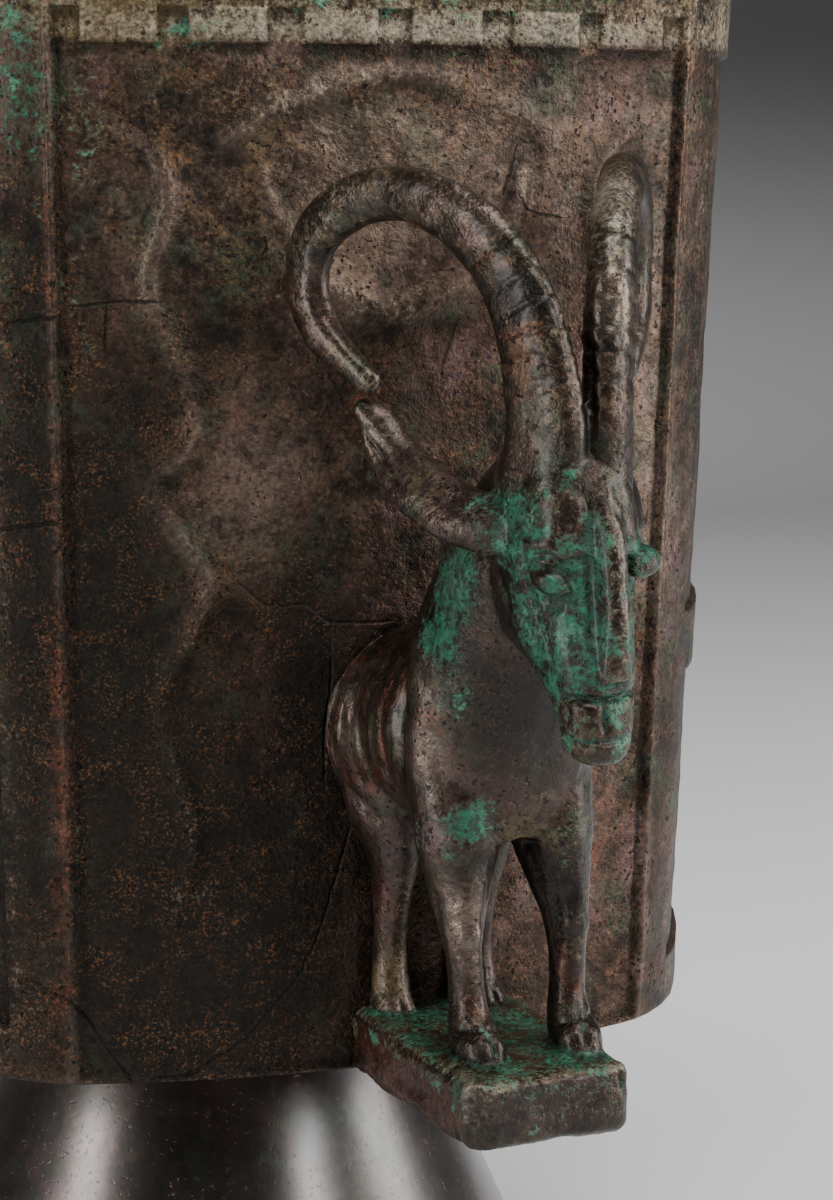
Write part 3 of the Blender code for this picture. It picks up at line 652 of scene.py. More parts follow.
# %% Horn's middle line
def horn_line(side):
    table = run_through(HORN, 12)
    back = np.array((math.sin(HORN_SPLAY[side]) * side, -math.cos(HORN_SPLAY[side]), 0.0))
    rise = HORN[0][1] + (table[:, 1] - HORN[0][1]) * HORN_STRETCH[side]
    centres = (np.array((HORN_FOOT[0] * side, HORN_FOOT[1], 0.0)) + back * table[:, :1]
               + np.outer(rise, (0, 0, 1)))
    flat = np.array((math.cos(HORN_SPLAY[side]) * side, math.sin(HORN_SPLAY[side]), 0.0))
    return centres, table[:, 2], table[:, 3], flat


# %% Put the limbs together
LEFT_EYE = [
    (-8.9, 56.0, 81.6, 0.3, 0.3), (-8.4, 57.3, 81.1, 1.2, 1.2), (-7.3, 59.0, 80.4, 1.6, 1.9),
    (-6.0, 60.7, 79.6, 1.2, 1.3), (-4.8, 62.0, 79.0, 0.3, 0.3)]
RIGHT_EYE = [
    (9.4, 55.6, 84.0, 0.3, 0.3), (9.2, 57.4, 83.5, 1.5, 1.7), (8.4, 59.3, 82.7, 2.2, 2.5),
    (7.0, 61.0, 81.8, 1.5, 1.7), (5.4, 62.0, 80.8, 0.3, 0.3)]
limbs = [limb_through("trunk", TRUNK), limb_through("neck", NECK),
         limb_through("head", HEAD, boxy=0.8), limb_through("nose", NOSE_RIDGE),
         limb_through("left_eye", LEFT_EYE, lean=(0, 0, 1)),
         limb_through("right_eye", RIGHT_EYE, lean=(0, 0, 1))]
for side in (-1, 1):
    limbs.append(limb_through("front_leg", FRONT_LEG, side))
    limbs.append(limb_through("hind_leg", HIND_LEG, side))
    limbs.append(limb_through("ear", EAR, side, EAR_LEAN))
    centres, half_wide, half_thick, flat = horn_line(side)
    half_thick = half_thick * (1.22 if side > 0 else 1.0)
    limbs.append(limb("horn", centres, half_thick, half_wide, flat, boxy=0.85))
print("Limbs:", len(limbs))

# %% Plinth
bpy.ops.object.select_all(action='DESELECT')
back_y, front_y = WALL_Y + 2.0, WALL_Y - PLINTH_LONG
bpy.ops.mesh.primitive_cube_add(
    size=0.001, location=(PLINTH_ACROSS / 1000, (front_y + back_y) / 2000,
                          (CUP_BASE - PLINTH_DROP + PLINTH_THICK / 2) / 1000),
    scale=(PLINTH_WIDE, back_y - front_y, PLINTH_THICK))
plinth = bpy.context.object
bpy.ops.object.transform_apply(location=True, rotation=True, scale=True)
finish_with(plinth, 'BEVEL', width=0.0023, segments=4)
corners = points_of(plinth)
forward_share = soft(corners[:, 1], front_y + 20, front_y)
leftward = 1 - (corners[:, 0] - PLINTH_ACROSS + PLINTH_WIDE / 2) / PLINTH_WIDE
corners[:, 1] -= forward_share * (0.6 + PLINTH_SKEW * leftward)
move_points(plinth, corners)
limbs.append(plinth)
print("Plinth:", PLINTH_WIDE, "wide and", PLINTH_THICK, "mm thick")

# %% Fuse the casting
bpy.ops.object.select_all(action='DESELECT')
for piece in limbs:
    piece.select_set(True)
bpy.context.view_layer.objects.active = limbs[0]
bpy.ops.object.join()
ibex = bpy.context.object
ibex.name = "ibex_bronze"
finish_with(ibex, 'REMESH', mode='VOXEL', voxel_size=0.0005)
finish_with(ibex, 'SMOOTH', factor=0.5, iterations=5)
bpy.ops.object.shade_smooth()
print("Ibex skin:", len(ibex.data.vertices), "points")

# %% [markdown]
# Horns of a real ibex carry knobs across their front. On this casting they are low plates with
# narrow notches between them, clearest halfway up and gone where the horn turns down. They are
# raised by how far along the horn's middle line a point lies.

# %% Plates on the horns
skin = points_of(ibex)
normals = normals_of(ibex)
own = to_figure(skin)
carve = np.zeros(len(skin))
NOTCHES = [14.0, 18.0, 22.0, 25.7, 29.2, 33.3, 37.0, 42.0, 48.0, 55.0]
for side in (-1, 1):
    centres, half_wide, _, _ = horn_line(side)
    high = (own[:, 2] > 88) & (own[:, 0] * side > -2)
    distance, along, _ = to_path(own[high], centres)
    length = np.linalg.norm(np.diff(centres, axis=0), axis=1).sum()
    reached = along * length + 0.7 * humps(own[high], 5, 31) + 0.12 * (own[high][:, 1] - 50)
    on_horn = soft(12 - distance, 0, 2) * soft(own[high][:, 2], 97, 101)
    notch = np.zeros(len(reached))
    plate = np.zeros(len(reached))
    for place, after in zip(NOTCHES, NOTCHES[1:]):
        past = (reached - place) / (after - place)
        notch = np.maximum(notch, np.exp(-((reached - place) / 0.5) ** 2))
        plate = np.where((past > 0) & (past < 1), past ** 0.6 * (1 - past) ** 0.25, plate)
    middle = centres[(along * (len(centres) - 1)).astype(int), 1]
    front = 0.45 + 0.55 * soft(own[high][:, 1] - middle, -3, 2)
    strength = 0.10 + 0.90 * soft(reached, 14, 28) * soft(52 - reached, 0, 14)
    strength = strength * (0.75 + 0.5 * humps(own[high], 3.5, 32))
    carve[high] += (0.36 * plate - 0.26 * notch) * strength * on_horn * front
print("Plates on each horn:", len(NOTCHES) - 1)

# %% [markdown]
# The rest is drawn into the skin with strokes, as with a wax tool. A stroke is a path on the
# surface with a width and a height, below zero for a groove. Paths are in the ibex's own
# millimetres, and most of them are repeated on the other side.

# %% How a stroke is drawn
def on_skin(places, knot):
    """The point of the skin nearest to a measured one."""
    return places[np.argmin(((places - np.array(knot)) ** 2).sum(axis=1))]


def stroke(places, path, wide, high, even=False):
    """Height that one stroke adds, fading out over its width and at its ends."""
    path = run_through([on_skin(places, knot) for knot in path], 3)
    near = ((places > path.min(axis=0) - 3 * wide) & (places < path.max(axis=0) + 3 * wide)).all(axis=1)
    added = np.zeros(len(places))
    distance, along, _ = to_path(places[near], path)
    length = np.linalg.norm(np.diff(path, axis=0), axis=1).sum()
    ends = soft(np.minimum(along, 1 - along) * length, -0.2, 0.2 if even else 0.35 * length)
    added[near] = high * np.exp(-(distance / wide) ** 2) * (1 if even else ends)
    return added


def bump_at(places, centre, reach, high, edge=2.0):
    """A round swelling, or a hollow below zero; a larger edge gives it a steeper side."""
    out = np.linalg.norm((places - on_skin(places, centre)) / np.array(reach), axis=1)
    return high * np.exp(-out ** edge)


# %% Strokes on both sides of the head
HEAD_STROKES = [
    # brow, lids, the hollows round the eye, and the plane between cheek and nose
    ([(-9.9, 52, 85.6), (-9.4, 55.5, 85.4), (-8.0, 58.9, 85.6), (-5.6, 61.2, 84.4)], 1.1, 0.55),
    ([(-9.1, 56.0, 82.2), (-8.7, 57.7, 83.0), (-7.5, 59.7, 82.9), (-5.9, 61.5, 81.3),
      (-4.5, 62.5, 79.3)], 0.6, 0.55),
    ([(-9.1, 56.0, 81.2), (-8.6, 57.9, 79.2), (-7.4, 59.6, 78.1), (-5.8, 61.4, 77.7),
      (-4.5, 62.5, 78.6)], 0.55, 0.4),
    ([(-9.0, 56.6, 84.1), (-8.0, 58.9, 84.5), (-6.0, 61.2, 82.9)], 0.6, -0.5),
    ([(-8.8, 56.8, 78.0), (-7.6, 59.2, 76.6), (-5.6, 61.6, 76.4)], 1.0, -0.55),
    ([(-4.0, 62.6, 76.6), (-3.2, 63.6, 71.9), (-3.0, 64.6, 66.5)], 1.6, -0.5),
    ([(-9.0, 49, 76.5), (-8.0, 51.5, 72.0), (-6.2, 55.0, 66.5)], 1.4, 0.5),
    ([(-10.3, 45.5, 82), (-9.8, 47.5, 77.5), (-9.0, 50.0, 73.5)], 1.0, -0.5),
    # forehead: the groove round each boss
    ([(-8.9, 55.6, 88.4), (-8.6, 55.9, 92.0), (-6.6, 57.6, 94.4), (-3.6, 59.6, 94.0),
      (-1.7, 60.9, 91.0), (-2.0, 61.6, 87.6), (-4.4, 61.2, 85.6), (-7.4, 59.0, 85.9),
      (-8.9, 56.0, 88.0)], 0.9, -0.28),
    # ear: the open side of the leaf
    ([(-22.4, 21.6, 103.4), (-22.2, 23.9, 99.8), (-21.2, 26.8, 96.8), (-20.6, 30.7, 93.4),
      (-19.5, 34.6, 90.8)], 1.7, -0.5),
    ([(-22.5, 22.1, 102.2), (-22.2, 23.9, 99.8), (-21.2, 26.8, 96.8), (-20.6, 30.7, 93.4),
      (-19.7, 33.8, 91.2)], 0.35, -0.6),
    ([(-13.4, 43.0, 92.6), (-11.6, 46.5, 92.4), (-10.4, 49.5, 91.6)], 1.0, -0.5),
]
print("Strokes on each side of the head:", len(HEAD_STROKES))

# %% Strokes on both sides of the body
BODY_STROKES = [
    # shoulder: the fold behind it and its own edge
    ([(-13.2, 20.5, 68.0), (-14.4, 20.8, 62.0), (-15.6, 21.5, 54.0), (-15.4, 22.0, 45.0),
      (-13.5, 22.5, 38.0)], 1.8, -1.1),
    ([(-13.6, 26.0, 68.0), (-14.4, 26.8, 60.0), (-15.2, 27.8, 52.0), (-15.2, 28.6, 44.0),
      (-13.6, 29.5, 36.0)], 2.6, 0.6),
    # flank: long shallow hollows left by the wax tool
    ([(-14.9, 16.4, 60.5), (-16.0, 16.6, 52.0), (-14.6, 17.2, 45.0), (-11.8, 16.6, 39.6)], 0.8, -0.3),
    ([(-16.0, 9.6, 61.0), (-17.0, 10.4, 52.3), (-16.0, 11.7, 45.9), (-12.8, 11.8, 38.6)], 0.7, -0.2),
    ([(-17.4, 3.4, 60.0), (-18.4, 4.0, 52.0), (-17.4, 5.4, 45.0), (-15.6, 6.6, 40.0)], 0.7, -0.2),
    ([(-16.4, 13.2, 60.0), (-17.2, 13.6, 52.0), (-15.8, 14.6, 45.0)], 1.3, 0.2),
    ([(-16.2, 4.5, 41.5), (-14.2, 9.0, 37.4), (-11.4, 11.4, 33.6)], 1.2, -0.5),
    # forelegs: shin, tendon behind it, knee and fetlock
    ([(-9.2, 35.8, 36.0), (-9.6, 36.0, 28.0), (-9.4, 35.6, 20.0), (-9.0, 36.4, 10.0)], 1.4, 0.45),
    ([(-12.6, 30.0, 30.0), (-12.6, 30.6, 20.0), (-11.6, 31.2, 12.0)], 1.0, -0.4),
    ([(-5.2, 33.5, 34.0), (-6.0, 34.0, 24.0), (-6.4, 33.8, 14.0)], 1.0, -0.4),
    ([(-12.0, 33.0, 22.0), (-9.2, 36.2, 21.0), (-6.4, 33.6, 22.0)], 1.6, 0.35),
    # hooves: the coronet's ledge and the cleft
    ([(-12.2, 33.6, 6.4), (-11.2, 36.4, 6.6), (-9.4, 38.2, 6.4), (-6.6, 37.6, 5.6),
      (-5.4, 35.0, 5.8)], 0.5, -0.6),
    ([(-12.4, 33.6, 4.6), (-11.6, 37.4, 4.6), (-9.4, 39.6, 4.2), (-6.2, 39.0, 3.8),
      (-5.0, 35.6, 4.4)], 1.3, 0.5),
    ([(-8.5, 38.6, 6.4), (-8.3, 39.8, 3.6), (-8.2, 41.6, 1.6)], 0.55, -0.9),
    ([(-8.4, 8.6, 5.0), (-8.4, 10.0, 2.4), (-8.4, 11.4, 0.6)], 0.5, -0.7),
    ([(-11.6, 5.0, 5.6), (-10.0, 8.4, 5.6), (-6.6, 8.2, 5.4)], 0.5, -0.4),
]
print("Strokes on each side of the body:", len(BODY_STROKES))

# %% Strokes that have no twin
ONCE = [
    # nose bar and muzzle
    ([(1.3, 62.6, 92.0), (1.3, 65.0, 85.0), (1.3, 66.4, 77.0), (1.4, 67.4, 67.5)], 1.7, 0.6),
    ([(-2.5, 59.6, 94.0), (-2.3, 62.0, 85.2), (-2.4, 63.0, 77.5), (-2.6, 64.4, 69.0)], 1.2, -0.35),
    ([(5.1, 59.2, 94.0), (4.9, 62.0, 85.0), (5.0, 63.0, 77.0), (5.3, 64.4, 69.0)], 1.2, -0.35),
    ([(-6.4, 57.5, 63.8), (-5.9, 60.2, 63.4), (-4.3, 63.8, 63.3), (-1.6, 65.6, 63.2),
      (1.7, 65.6, 63.4), (4.6, 63.6, 63.6), (6.2, 58.0, 63.8)], 0.6, -1.3),
    ([(-5.6, 58.0, 57.2), (-5.1, 61.2, 56.9), (-3.0, 64.9, 56.6), (0.3, 65.5, 56.8),
      (3.3, 64.8, 57.4), (5.4, 60.5, 57.8)], 0.5, -0.8),
    ([(-1.2, 65.4, 63.0), (-1.0, 65.4, 60.7), (-1.0, 65.4, 57.0)], 0.5, -0.9),
    ([(-5.5, 61.6, 62.2), (-5.5, 62.0, 58.6)], 0.45, -0.5),
    ([(4.6, 63.4, 62.2), (4.6, 63.4, 59.0)], 0.45, -0.5),
    # the crack down the cheek, and two smaller ones
    ([(-9.6, 53.6, 89.0), (-9.3, 54.6, 86.1), (-9.2, 54.9, 80.6), (-8.4, 55.6, 76.5),
      (-7.4, 57.2, 72.0), (-6.2, 59.5, 65.5)], 0.42, -1.1),
    # between the horns, pitted and dark
    ([(2.6, 52.8, 119), (2.1, 54.4, 115.0), (1.2, 56.2, 108), (0.8, 57.5, 101)], 1.0, -1.0),
    # plinth: a nick in its front edge and a dent along its left side
    ([(10.2, 47.5, 2.0), (11.0, 47.5, -1.5), (11.6, 47.5, -4.0)], 0.5, -0.9),
    ([(-15.6, 12.0, -4.0), (-16.0, 26.0, -5.0), (-16.0, 40.0, -3.6)], 2.4, -0.7),
]
print("Strokes without a twin:", len(ONCE))

# %% Draw the strokes
for path, wide, high in HEAD_STROKES + BODY_STROKES:
    carve += stroke(own, path, wide, high)
    carve += stroke(own, [(-x, y, z) for x, y, z in path], wide, high)
for path, wide, high, *even in ONCE:
    carve += stroke(own, path, wide, high, *even)
for side in (-1, 1):
    carve += bump_at(own, (5.3 * side, 59.4, 90.0), (4.4, 4.6, 4.6), 0.35, 3.0)
    carve += bump_at(own, (10.0 * side, 50.0, 82.0), (3.0, 5.0, 5.0), 0.5)
    carve += bump_at(own, (7.2 * side, 60.5, 70.0), (3.0, 4.0, 5.0), 0.3)
carve += bump_at(own, (0, 34.5, 35.5), (2.2, 3.0, 2.5), -0.8)
skin = skin + normals * carve[:, None]
print("Deepest:", round(float(carve.min()), 2), "and highest:", round(float(carve.max()), 2), "mm")

# %% [markdown]
# A wax model is never even, and the plinth is the roughest part of it, with one corner worn
# away. The ibex must also stay clear of the wall behind it, so points too near are drawn forward.

# %% Unevenness and the worn plinth
waves = 0.13 * humps(skin, 7, 21) + 0.11 * humps(skin, 3, 22) + 0.07 * humps(skin, 1.4, 23)
on_plinth = soft(3.0 - own[:, 2], 0, 0.8)
waves += on_plinth * (0.42 * humps(skin, 9, 24) + 0.26 * humps(skin, 3.5, 25)
                      + 0.10 * humps(skin, 1.6, 26) - 0.22)
skin = skin + normals * waves[:, None]
left_x = PLINTH_ACROSS - PLINTH_WIDE / 2
corner_out = (left_x - skin[:, 0] + front_y - PLINTH_SKEW - skin[:, 1]) / 1.414
cut = np.maximum(corner_out + 2.6 + 0.12 * (FIGURE_UP - skin[:, 2]), 0) * on_plinth
skin[:, :2] += 0.7 * cut[:, None]
print("Worn off the corner:", round(float(cut.max()), 1), "mm")

# %% Clearance from the wall, and the last form
CLEARANCE = 0.42
IBEX_TRIANGLES = 195000
for _ in range(4):
    angle = np.arctan2(skin[:, 0], AXIS_Y - skin[:, 1])
    wall_there = wall_radius(angle, skin[:, 2] - CUP_BASE) - RECESS + CLEARANCE
    out = np.hypot(skin[:, 0], skin[:, 1] - AXIS_Y)
    behind = (out < wall_there) & (np.abs(angle) < CORNER)
    skin[:, 1] -= np.where(behind, (wall_there - out) / np.cos(angle), 0)
ibex_low, ibex_high = (np.array(corner) * 1000 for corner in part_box("ibex"))
skin = np.clip(skin, ibex_low + 0.01, ibex_high - 0.01)
move_points(ibex, skin)
triangles = 2 * len(ibex.data.polygons)
finish_with(ibex, 'DECIMATE', ratio=min(1.0, IBEX_TRIANGLES / triangles))
bpy.ops.object.shade_smooth()
print("Ibex:", len(ibex.data.polygons), "faces")

# %% [markdown]
# The animal is brightest green on its face, where the corrosion lies thickest, red on its flank
# and under its feet, and pale on the horns, whose pale tops are painted highlights. It is dark
# with soot, and with painted shade under its chest and belly and between the horns, and lighter
# spots on the left shoulder, the forelegs and the right horn are painted highlights. Regions are
# named first, and each colour's mask is a share of them, with soft spots in between.

# %% Regions of the ibex
own = to_figure(points_of(ibex))


def spots(places, rows):
    """Soft spots in space: (across, forward, up, reach, strength)."""
    total = np.zeros(len(places))
    for across, forward, up, reach, strength in rows:
        out = np.linalg.norm(places - (across, forward, up), axis=1) / reach
        total = np.maximum(total, strength * np.exp(-out ** 2))
    return total


face = soft(own[:, 1] + 0.25 * (own[:, 2] - 80), 42, 52) * soft(own[:, 2], 50, 54)
face = face * soft(101 - own[:, 2], 0, 14)
bar = np.exp(-((own[:, 0] - 1.3) / 2.6) ** 2) * soft(own[:, 1], 58, 63) * soft(own[:, 2], 63, 66)
horns = soft(own[:, 2], 99, 107)
plinth_here = soft(2.9 - own[:, 2], 0, 0.6)
plinth_top = plinth_here * soft(own[:, 2], -0.6, 1.4)
plinth_side = plinth_here * (1 - soft(own[:, 2], -0.4, 1.2))
plinth_front = plinth_side * soft(own[:, 1], PLINTH_LONG - 2, PLINTH_LONG)
neck_back = soft(40 - own[:, 1], 0, 10) * soft(own[:, 2], 30, 40) * (1 - horns)
muzzle = soft(64 - own[:, 2], 0, 1.5) * face
boss = spots(own, [(-5.2, 60.0, 90.0, 4.0, 1.0), (5.2, 60.0, 90.0, 4.0, 1.0)])
flank = soft(24 - own[:, 1], 0, 6) * soft(own[:, 2], 34, 42) * soft(72 - own[:, 2], 0, 6)
flank = flank * soft(-own[:, 0], 8, 12)
streaks = humps(own * (1, 1, 0.2), 1.1, 41)
print("Points on the face:", int((face > 0.5).sum()), "and the plinth:", int((plinth_here > 0.5).sum()))

# %% Colour patches of the ibex
keep_mask(ibex, "green", np.maximum.reduce([
    face * 0.74 - bar * 0.06 - muzzle * 0.18 - boss * 0.32, plinth_top * 0.6,
    plinth_side * (0.2 + 0.3 * soft(own[:, 2], -4, -0.5)), plinth_front * 0.36,
    spots(own, [(-8.6, 56, 79, 7, 0.85), (-7.2, 60, 80, 3.5, 1.1), (-6, 60, 72, 5, 0.8),
                (8.6, 59, 82.5, 5, 1.3), (-13, 28, 36, 4, 0.5), (8, 36, 22, 5, 0.45),
                (-12.0, 33.5, 77, 7, 1.4), (-12.8, 31.5, 69, 6, 1.1),
                (-11.3, 35.3, 59, 3, 0.55), (-9.3, 34.8, 39, 4.6, 0.95), (-11, 33, 35, 3.5, 0.7),
                (8, 36, 30, 6, 0.44), (-15.0, 27.0, 47, 3, 0.4), (-9, 38, 3, 6, 0.5),
                (8, 38, 3, 6, 0.5), (-12, 46.0, 92, 5, 0.6), (0.6, 54.0, 103, 4, 0.45),
                (-6, 46, -3, 5, 0.5), (-16, 45, 0, 5, 0.8), (6, 46, 1, 6, 0.7),
                (14, 46, -1, 5, 0.5), (-6, 52.0, 108, 3, 0.35), (-9.0, 50.5, 125, 2.5, 0.45),
                (-4, 58, 95, 5, 0.6)])]))
# Pale crust on the plinth's top. The pale spots on the horn tops, on the right horn's left face and on
# the neck are painted highlights.
keep_mask(ibex, "pale_crust_and_highlight", np.maximum.reduce([horns * 0.04, bar * 0.2, spots(own, [
    (-14, 40, 136, 8, 0.30), (-26, 18, 139, 10, 0.30), (7.0, 43, 138, 9, 0.7), (4.6, 48, 129, 7, 0.4),
    (-12.0, 33.5, 77, 6, 0.9),
    (-12.5, 44.5, 93.5, 3, 0.45), (-16, 46, 0, 4, 0.35)])]) + plinth_top * 0.36)
keep_mask(ibex, "red", np.maximum.reduce([
    plinth_side * 0.75 - plinth_front * 0.35, flank * (0.46 + 0.5 * streaks), spots(own, [
        (-10, 4, 22, 9, 0.6), (-9, 34, 24, 7, 0.5), (-9, 34, 8, 6, 0.55), (8, 34, 14, 8, 0.6),
        (-13, 30, 56, 7, 0.5), (4, 36, 48, 7, 0.4), (6, 54, 114, 9, 0.5),
        (-8, 50, 114, 12, 0.5), (-10, 46, 126, 8, 0.5), (8, 6, 14, 10, 0.5), (0, 62, 98, 5, 0.4),
        (-12, 45, 92, 4, 0.35)])]))
# Lighter metal: the nose bar and flank are worn. The spots on the left shoulder's edge, the forelegs and
# the right horn are painted highlights.
keep_mask(ibex, "wear_and_highlight", np.maximum.reduce([
    bar * 0.3, horns * 0.1, plinth_front * 0.12, flank * (0.2 - 0.6 * streaks), spots(own, [
        (-14.5, 29, 50, 7, 0.8), (-14.5, 28, 62, 7, 0.8), (-11, 34, 24, 8, 0.7), (8, 36, 18, 9, 0.22),
        (5, 50, 120, 9, 0.9), (7, 43, 138, 9, 1.0), (-20, 30, 98, 8, 0.4)])]))
keep_mask(ibex, "ochre", np.maximum.reduce([
    horns * 0.36, muzzle * 0.5, plinth_top * 0.75, boss * 0.35, spots(own, [
        (0, 35, 36, 6, 0.8), (-8, 6, 8, 9, 0.7), (0, 66, 60, 6, 0.5), (-16, 34, 92, 9, 0.55),
        (0, 38, 50, 12, 0.4), (-20, 24, 137, 12, 0.55), (-36, 6, 124, 14, 0.5)])]))
# Darker with soot, and with painted shade under the chest, belly and jaw and in the gap between the
# horns.
keep_mask(ibex, "soot_and_shade", np.maximum.reduce([
    neck_back * 0.3, plinth_side * 0.3, plinth_front * 0.45, spots(own, [
        (0, 20, 60, 14, 0.3), (1.8, 55, 112, 3, 1.0), (1.0, 57, 102, 2.5, 0.8),
        (0, 37, 58, 15, 0.95), (0, 36, 42, 12, 0.35), (0, 10, 34, 14, 0.8),
        (-5, 40, 80, 10, 0.4), (-27, 10, 112, 8, 0.5)])]))
print("Ibex masks are kept")

# %% [markdown]
# ## Edges and hollows
# Handling polishes what stands proud, and the hollows are darkened. Comparing each point with the
# mean of its neighbours tells the two apart.

# %% How proud each point stands
def keep_proud(piece, rounds, scale):
    """Positive on ridges and edges, negative in hollows, about -1 to 1."""
    points = points_of(piece)
    edges = np.empty(len(piece.data.edges) * 2, dtype=np.int32)
    piece.data.edges.foreach_get("vertices", edges)
    first, second = edges.reshape(-1, 2).T
    count = np.bincount(edges, minlength=len(points))[:, None]
    eased = points
    for _ in range(rounds):
        total = np.empty_like(eased)
        for axis in range(3):
            column = eased[:, axis]
            total[:, axis] = (np.bincount(first, column[second], len(points))
                              + np.bincount(second, column[first], len(points)))
        eased = 0.5 * eased + 0.5 * total / np.maximum(count, 1)
    proud = ((points - eased) * normals_of(piece)).sum(axis=1) / scale
    keep_mask(piece, "proud", np.clip(proud, -1, 1))


keep_proud(cup, 6, 0.22)
keep_proud(foot, 4, 0.12)
keep_proud(ibex, 14, 0.22)

# %% [markdown]
# ## Writing materials as sums
# A material is a sum of noise, masks and colours. To keep it readable, a wire is a small object
# that stands for one socket. Adding or multiplying wires adds the Math nodes, and every other
# node comes from one method that sets the node first and then joins its sockets.

# %% The wire
class Wire:
    """A value, colour or vector on its way through a material."""

    def __init__(self, tree, socket=None):
        self.tree = tree
        self.socket = socket

    def node(self, kind, settings=None, sockets=None, out=0):
        made = self.tree.nodes.new(kind)
        for name, value in (settings or {}).items():
            setattr(made, name, value)
        for name, value in (sockets or {}).items():
            if isinstance(value, Wire):
                self.tree.links.new(value.socket, made.inputs[name])
            else:
                made.inputs[name].default_value = value
        return Wire(self.tree, made.outputs[out])

    def maths(self, operation, first, second):
        return self.node('ShaderNodeMath', {'operation': operation}, {0: first, 1: second})

    def __add__(self, other):
        return self.maths('ADD', self, other)

    def __radd__(self, other):
        return self.maths('ADD', other, self)

    def __sub__(self, other):
        return self.maths('SUBTRACT', self, other)

    def __rsub__(self, other):
        return self.maths('SUBTRACT', other, self)

    def __mul__(self, other):
        return self.maths('MULTIPLY', self, other)

    def __rmul__(self, other):
        return self.maths('MULTIPLY', other, self)

    def __abs__(self):
        return self.maths('ABSOLUTE', self, 0.0)

    def larger(self, other):
        return self.maths('MAXIMUM', self, other)

    def rise(self, low, high):
        """0 below low, 1 above high; low may be the larger one."""
        return self.node('ShaderNodeMapRange', {'interpolation_type': 'SMOOTHSTEP'},
                         {'Value': self, 'From Min': low, 'From Max': high})

    def blend(self, under, over):
        """This wire is the share of the colour over on the colour under."""
        colours = [value if isinstance(value, Wire) else (*value, 1.0) for value in (under, over)]
        return self.node('ShaderNodeMix', {'data_type': 'RGBA'},
                         {0: self, 6: colours[0], 7: colours[1]}, out=2)

    def noise(self, size, seed, detail=3.0, rough=0.55, twist=0.0):
        """Noise over a place; size is in millimetres."""
        return self.node('ShaderNodeTexNoise', {'noise_dimensions': '4D'},
                         {'Vector': self, 'W': seed, 'Scale': 1000 / size, 'Detail': detail,
                          'Roughness': rough, 'Distortion': twist})


def begin_material(name):
    made = bpy.data.materials.new(name)
    made.use_nodes = True
    start = Wire(made.node_tree)
    return made, made.node_tree.nodes['Principled BSDF'], start


def join(shader, name, wire):
    wire.tree.links.new(wire.socket, shader.inputs[name])


# %% [markdown]
# ## Old bronze
# Bare bronze turns brown, then red with cuprite, and last green with copper carbonates, while
# soil and incense leave pale and sooty films. The worn and pale layers also carry painted
# highlights, and the sooty layer painted shade and shadow. The material lays those layers in
# that order.
# Each one is a mask of the piece, broken at its edge by noise, because a crust never ends in
# a smooth line. Metal shows through less where the crust is thick.

# %% Colours of old bronze
BLACK_BROWN = (0.013, 0.0102, 0.008)
BROWN = (0.060, 0.037, 0.025)
PURPLE_BROWN = (0.076, 0.047, 0.048)
OLIVE = (0.034, 0.045, 0.028)
WEAR_AND_HIGHLIGHT_BROWN = (0.158, 0.114, 0.090)
RED = (0.130, 0.042, 0.026)
RUST = (0.220, 0.095, 0.038)
OCHRE = (0.105, 0.075, 0.031)
GREEN_DEEP = (0.005, 0.040, 0.023)
GREEN = (0.009, 0.130, 0.072)
GREEN_PALE = (0.075, 0.205, 0.130)
PALE = (0.290, 0.255, 0.190)
SHADE_AND_SOOT_BLACK = (0.009, 0.008, 0.006)


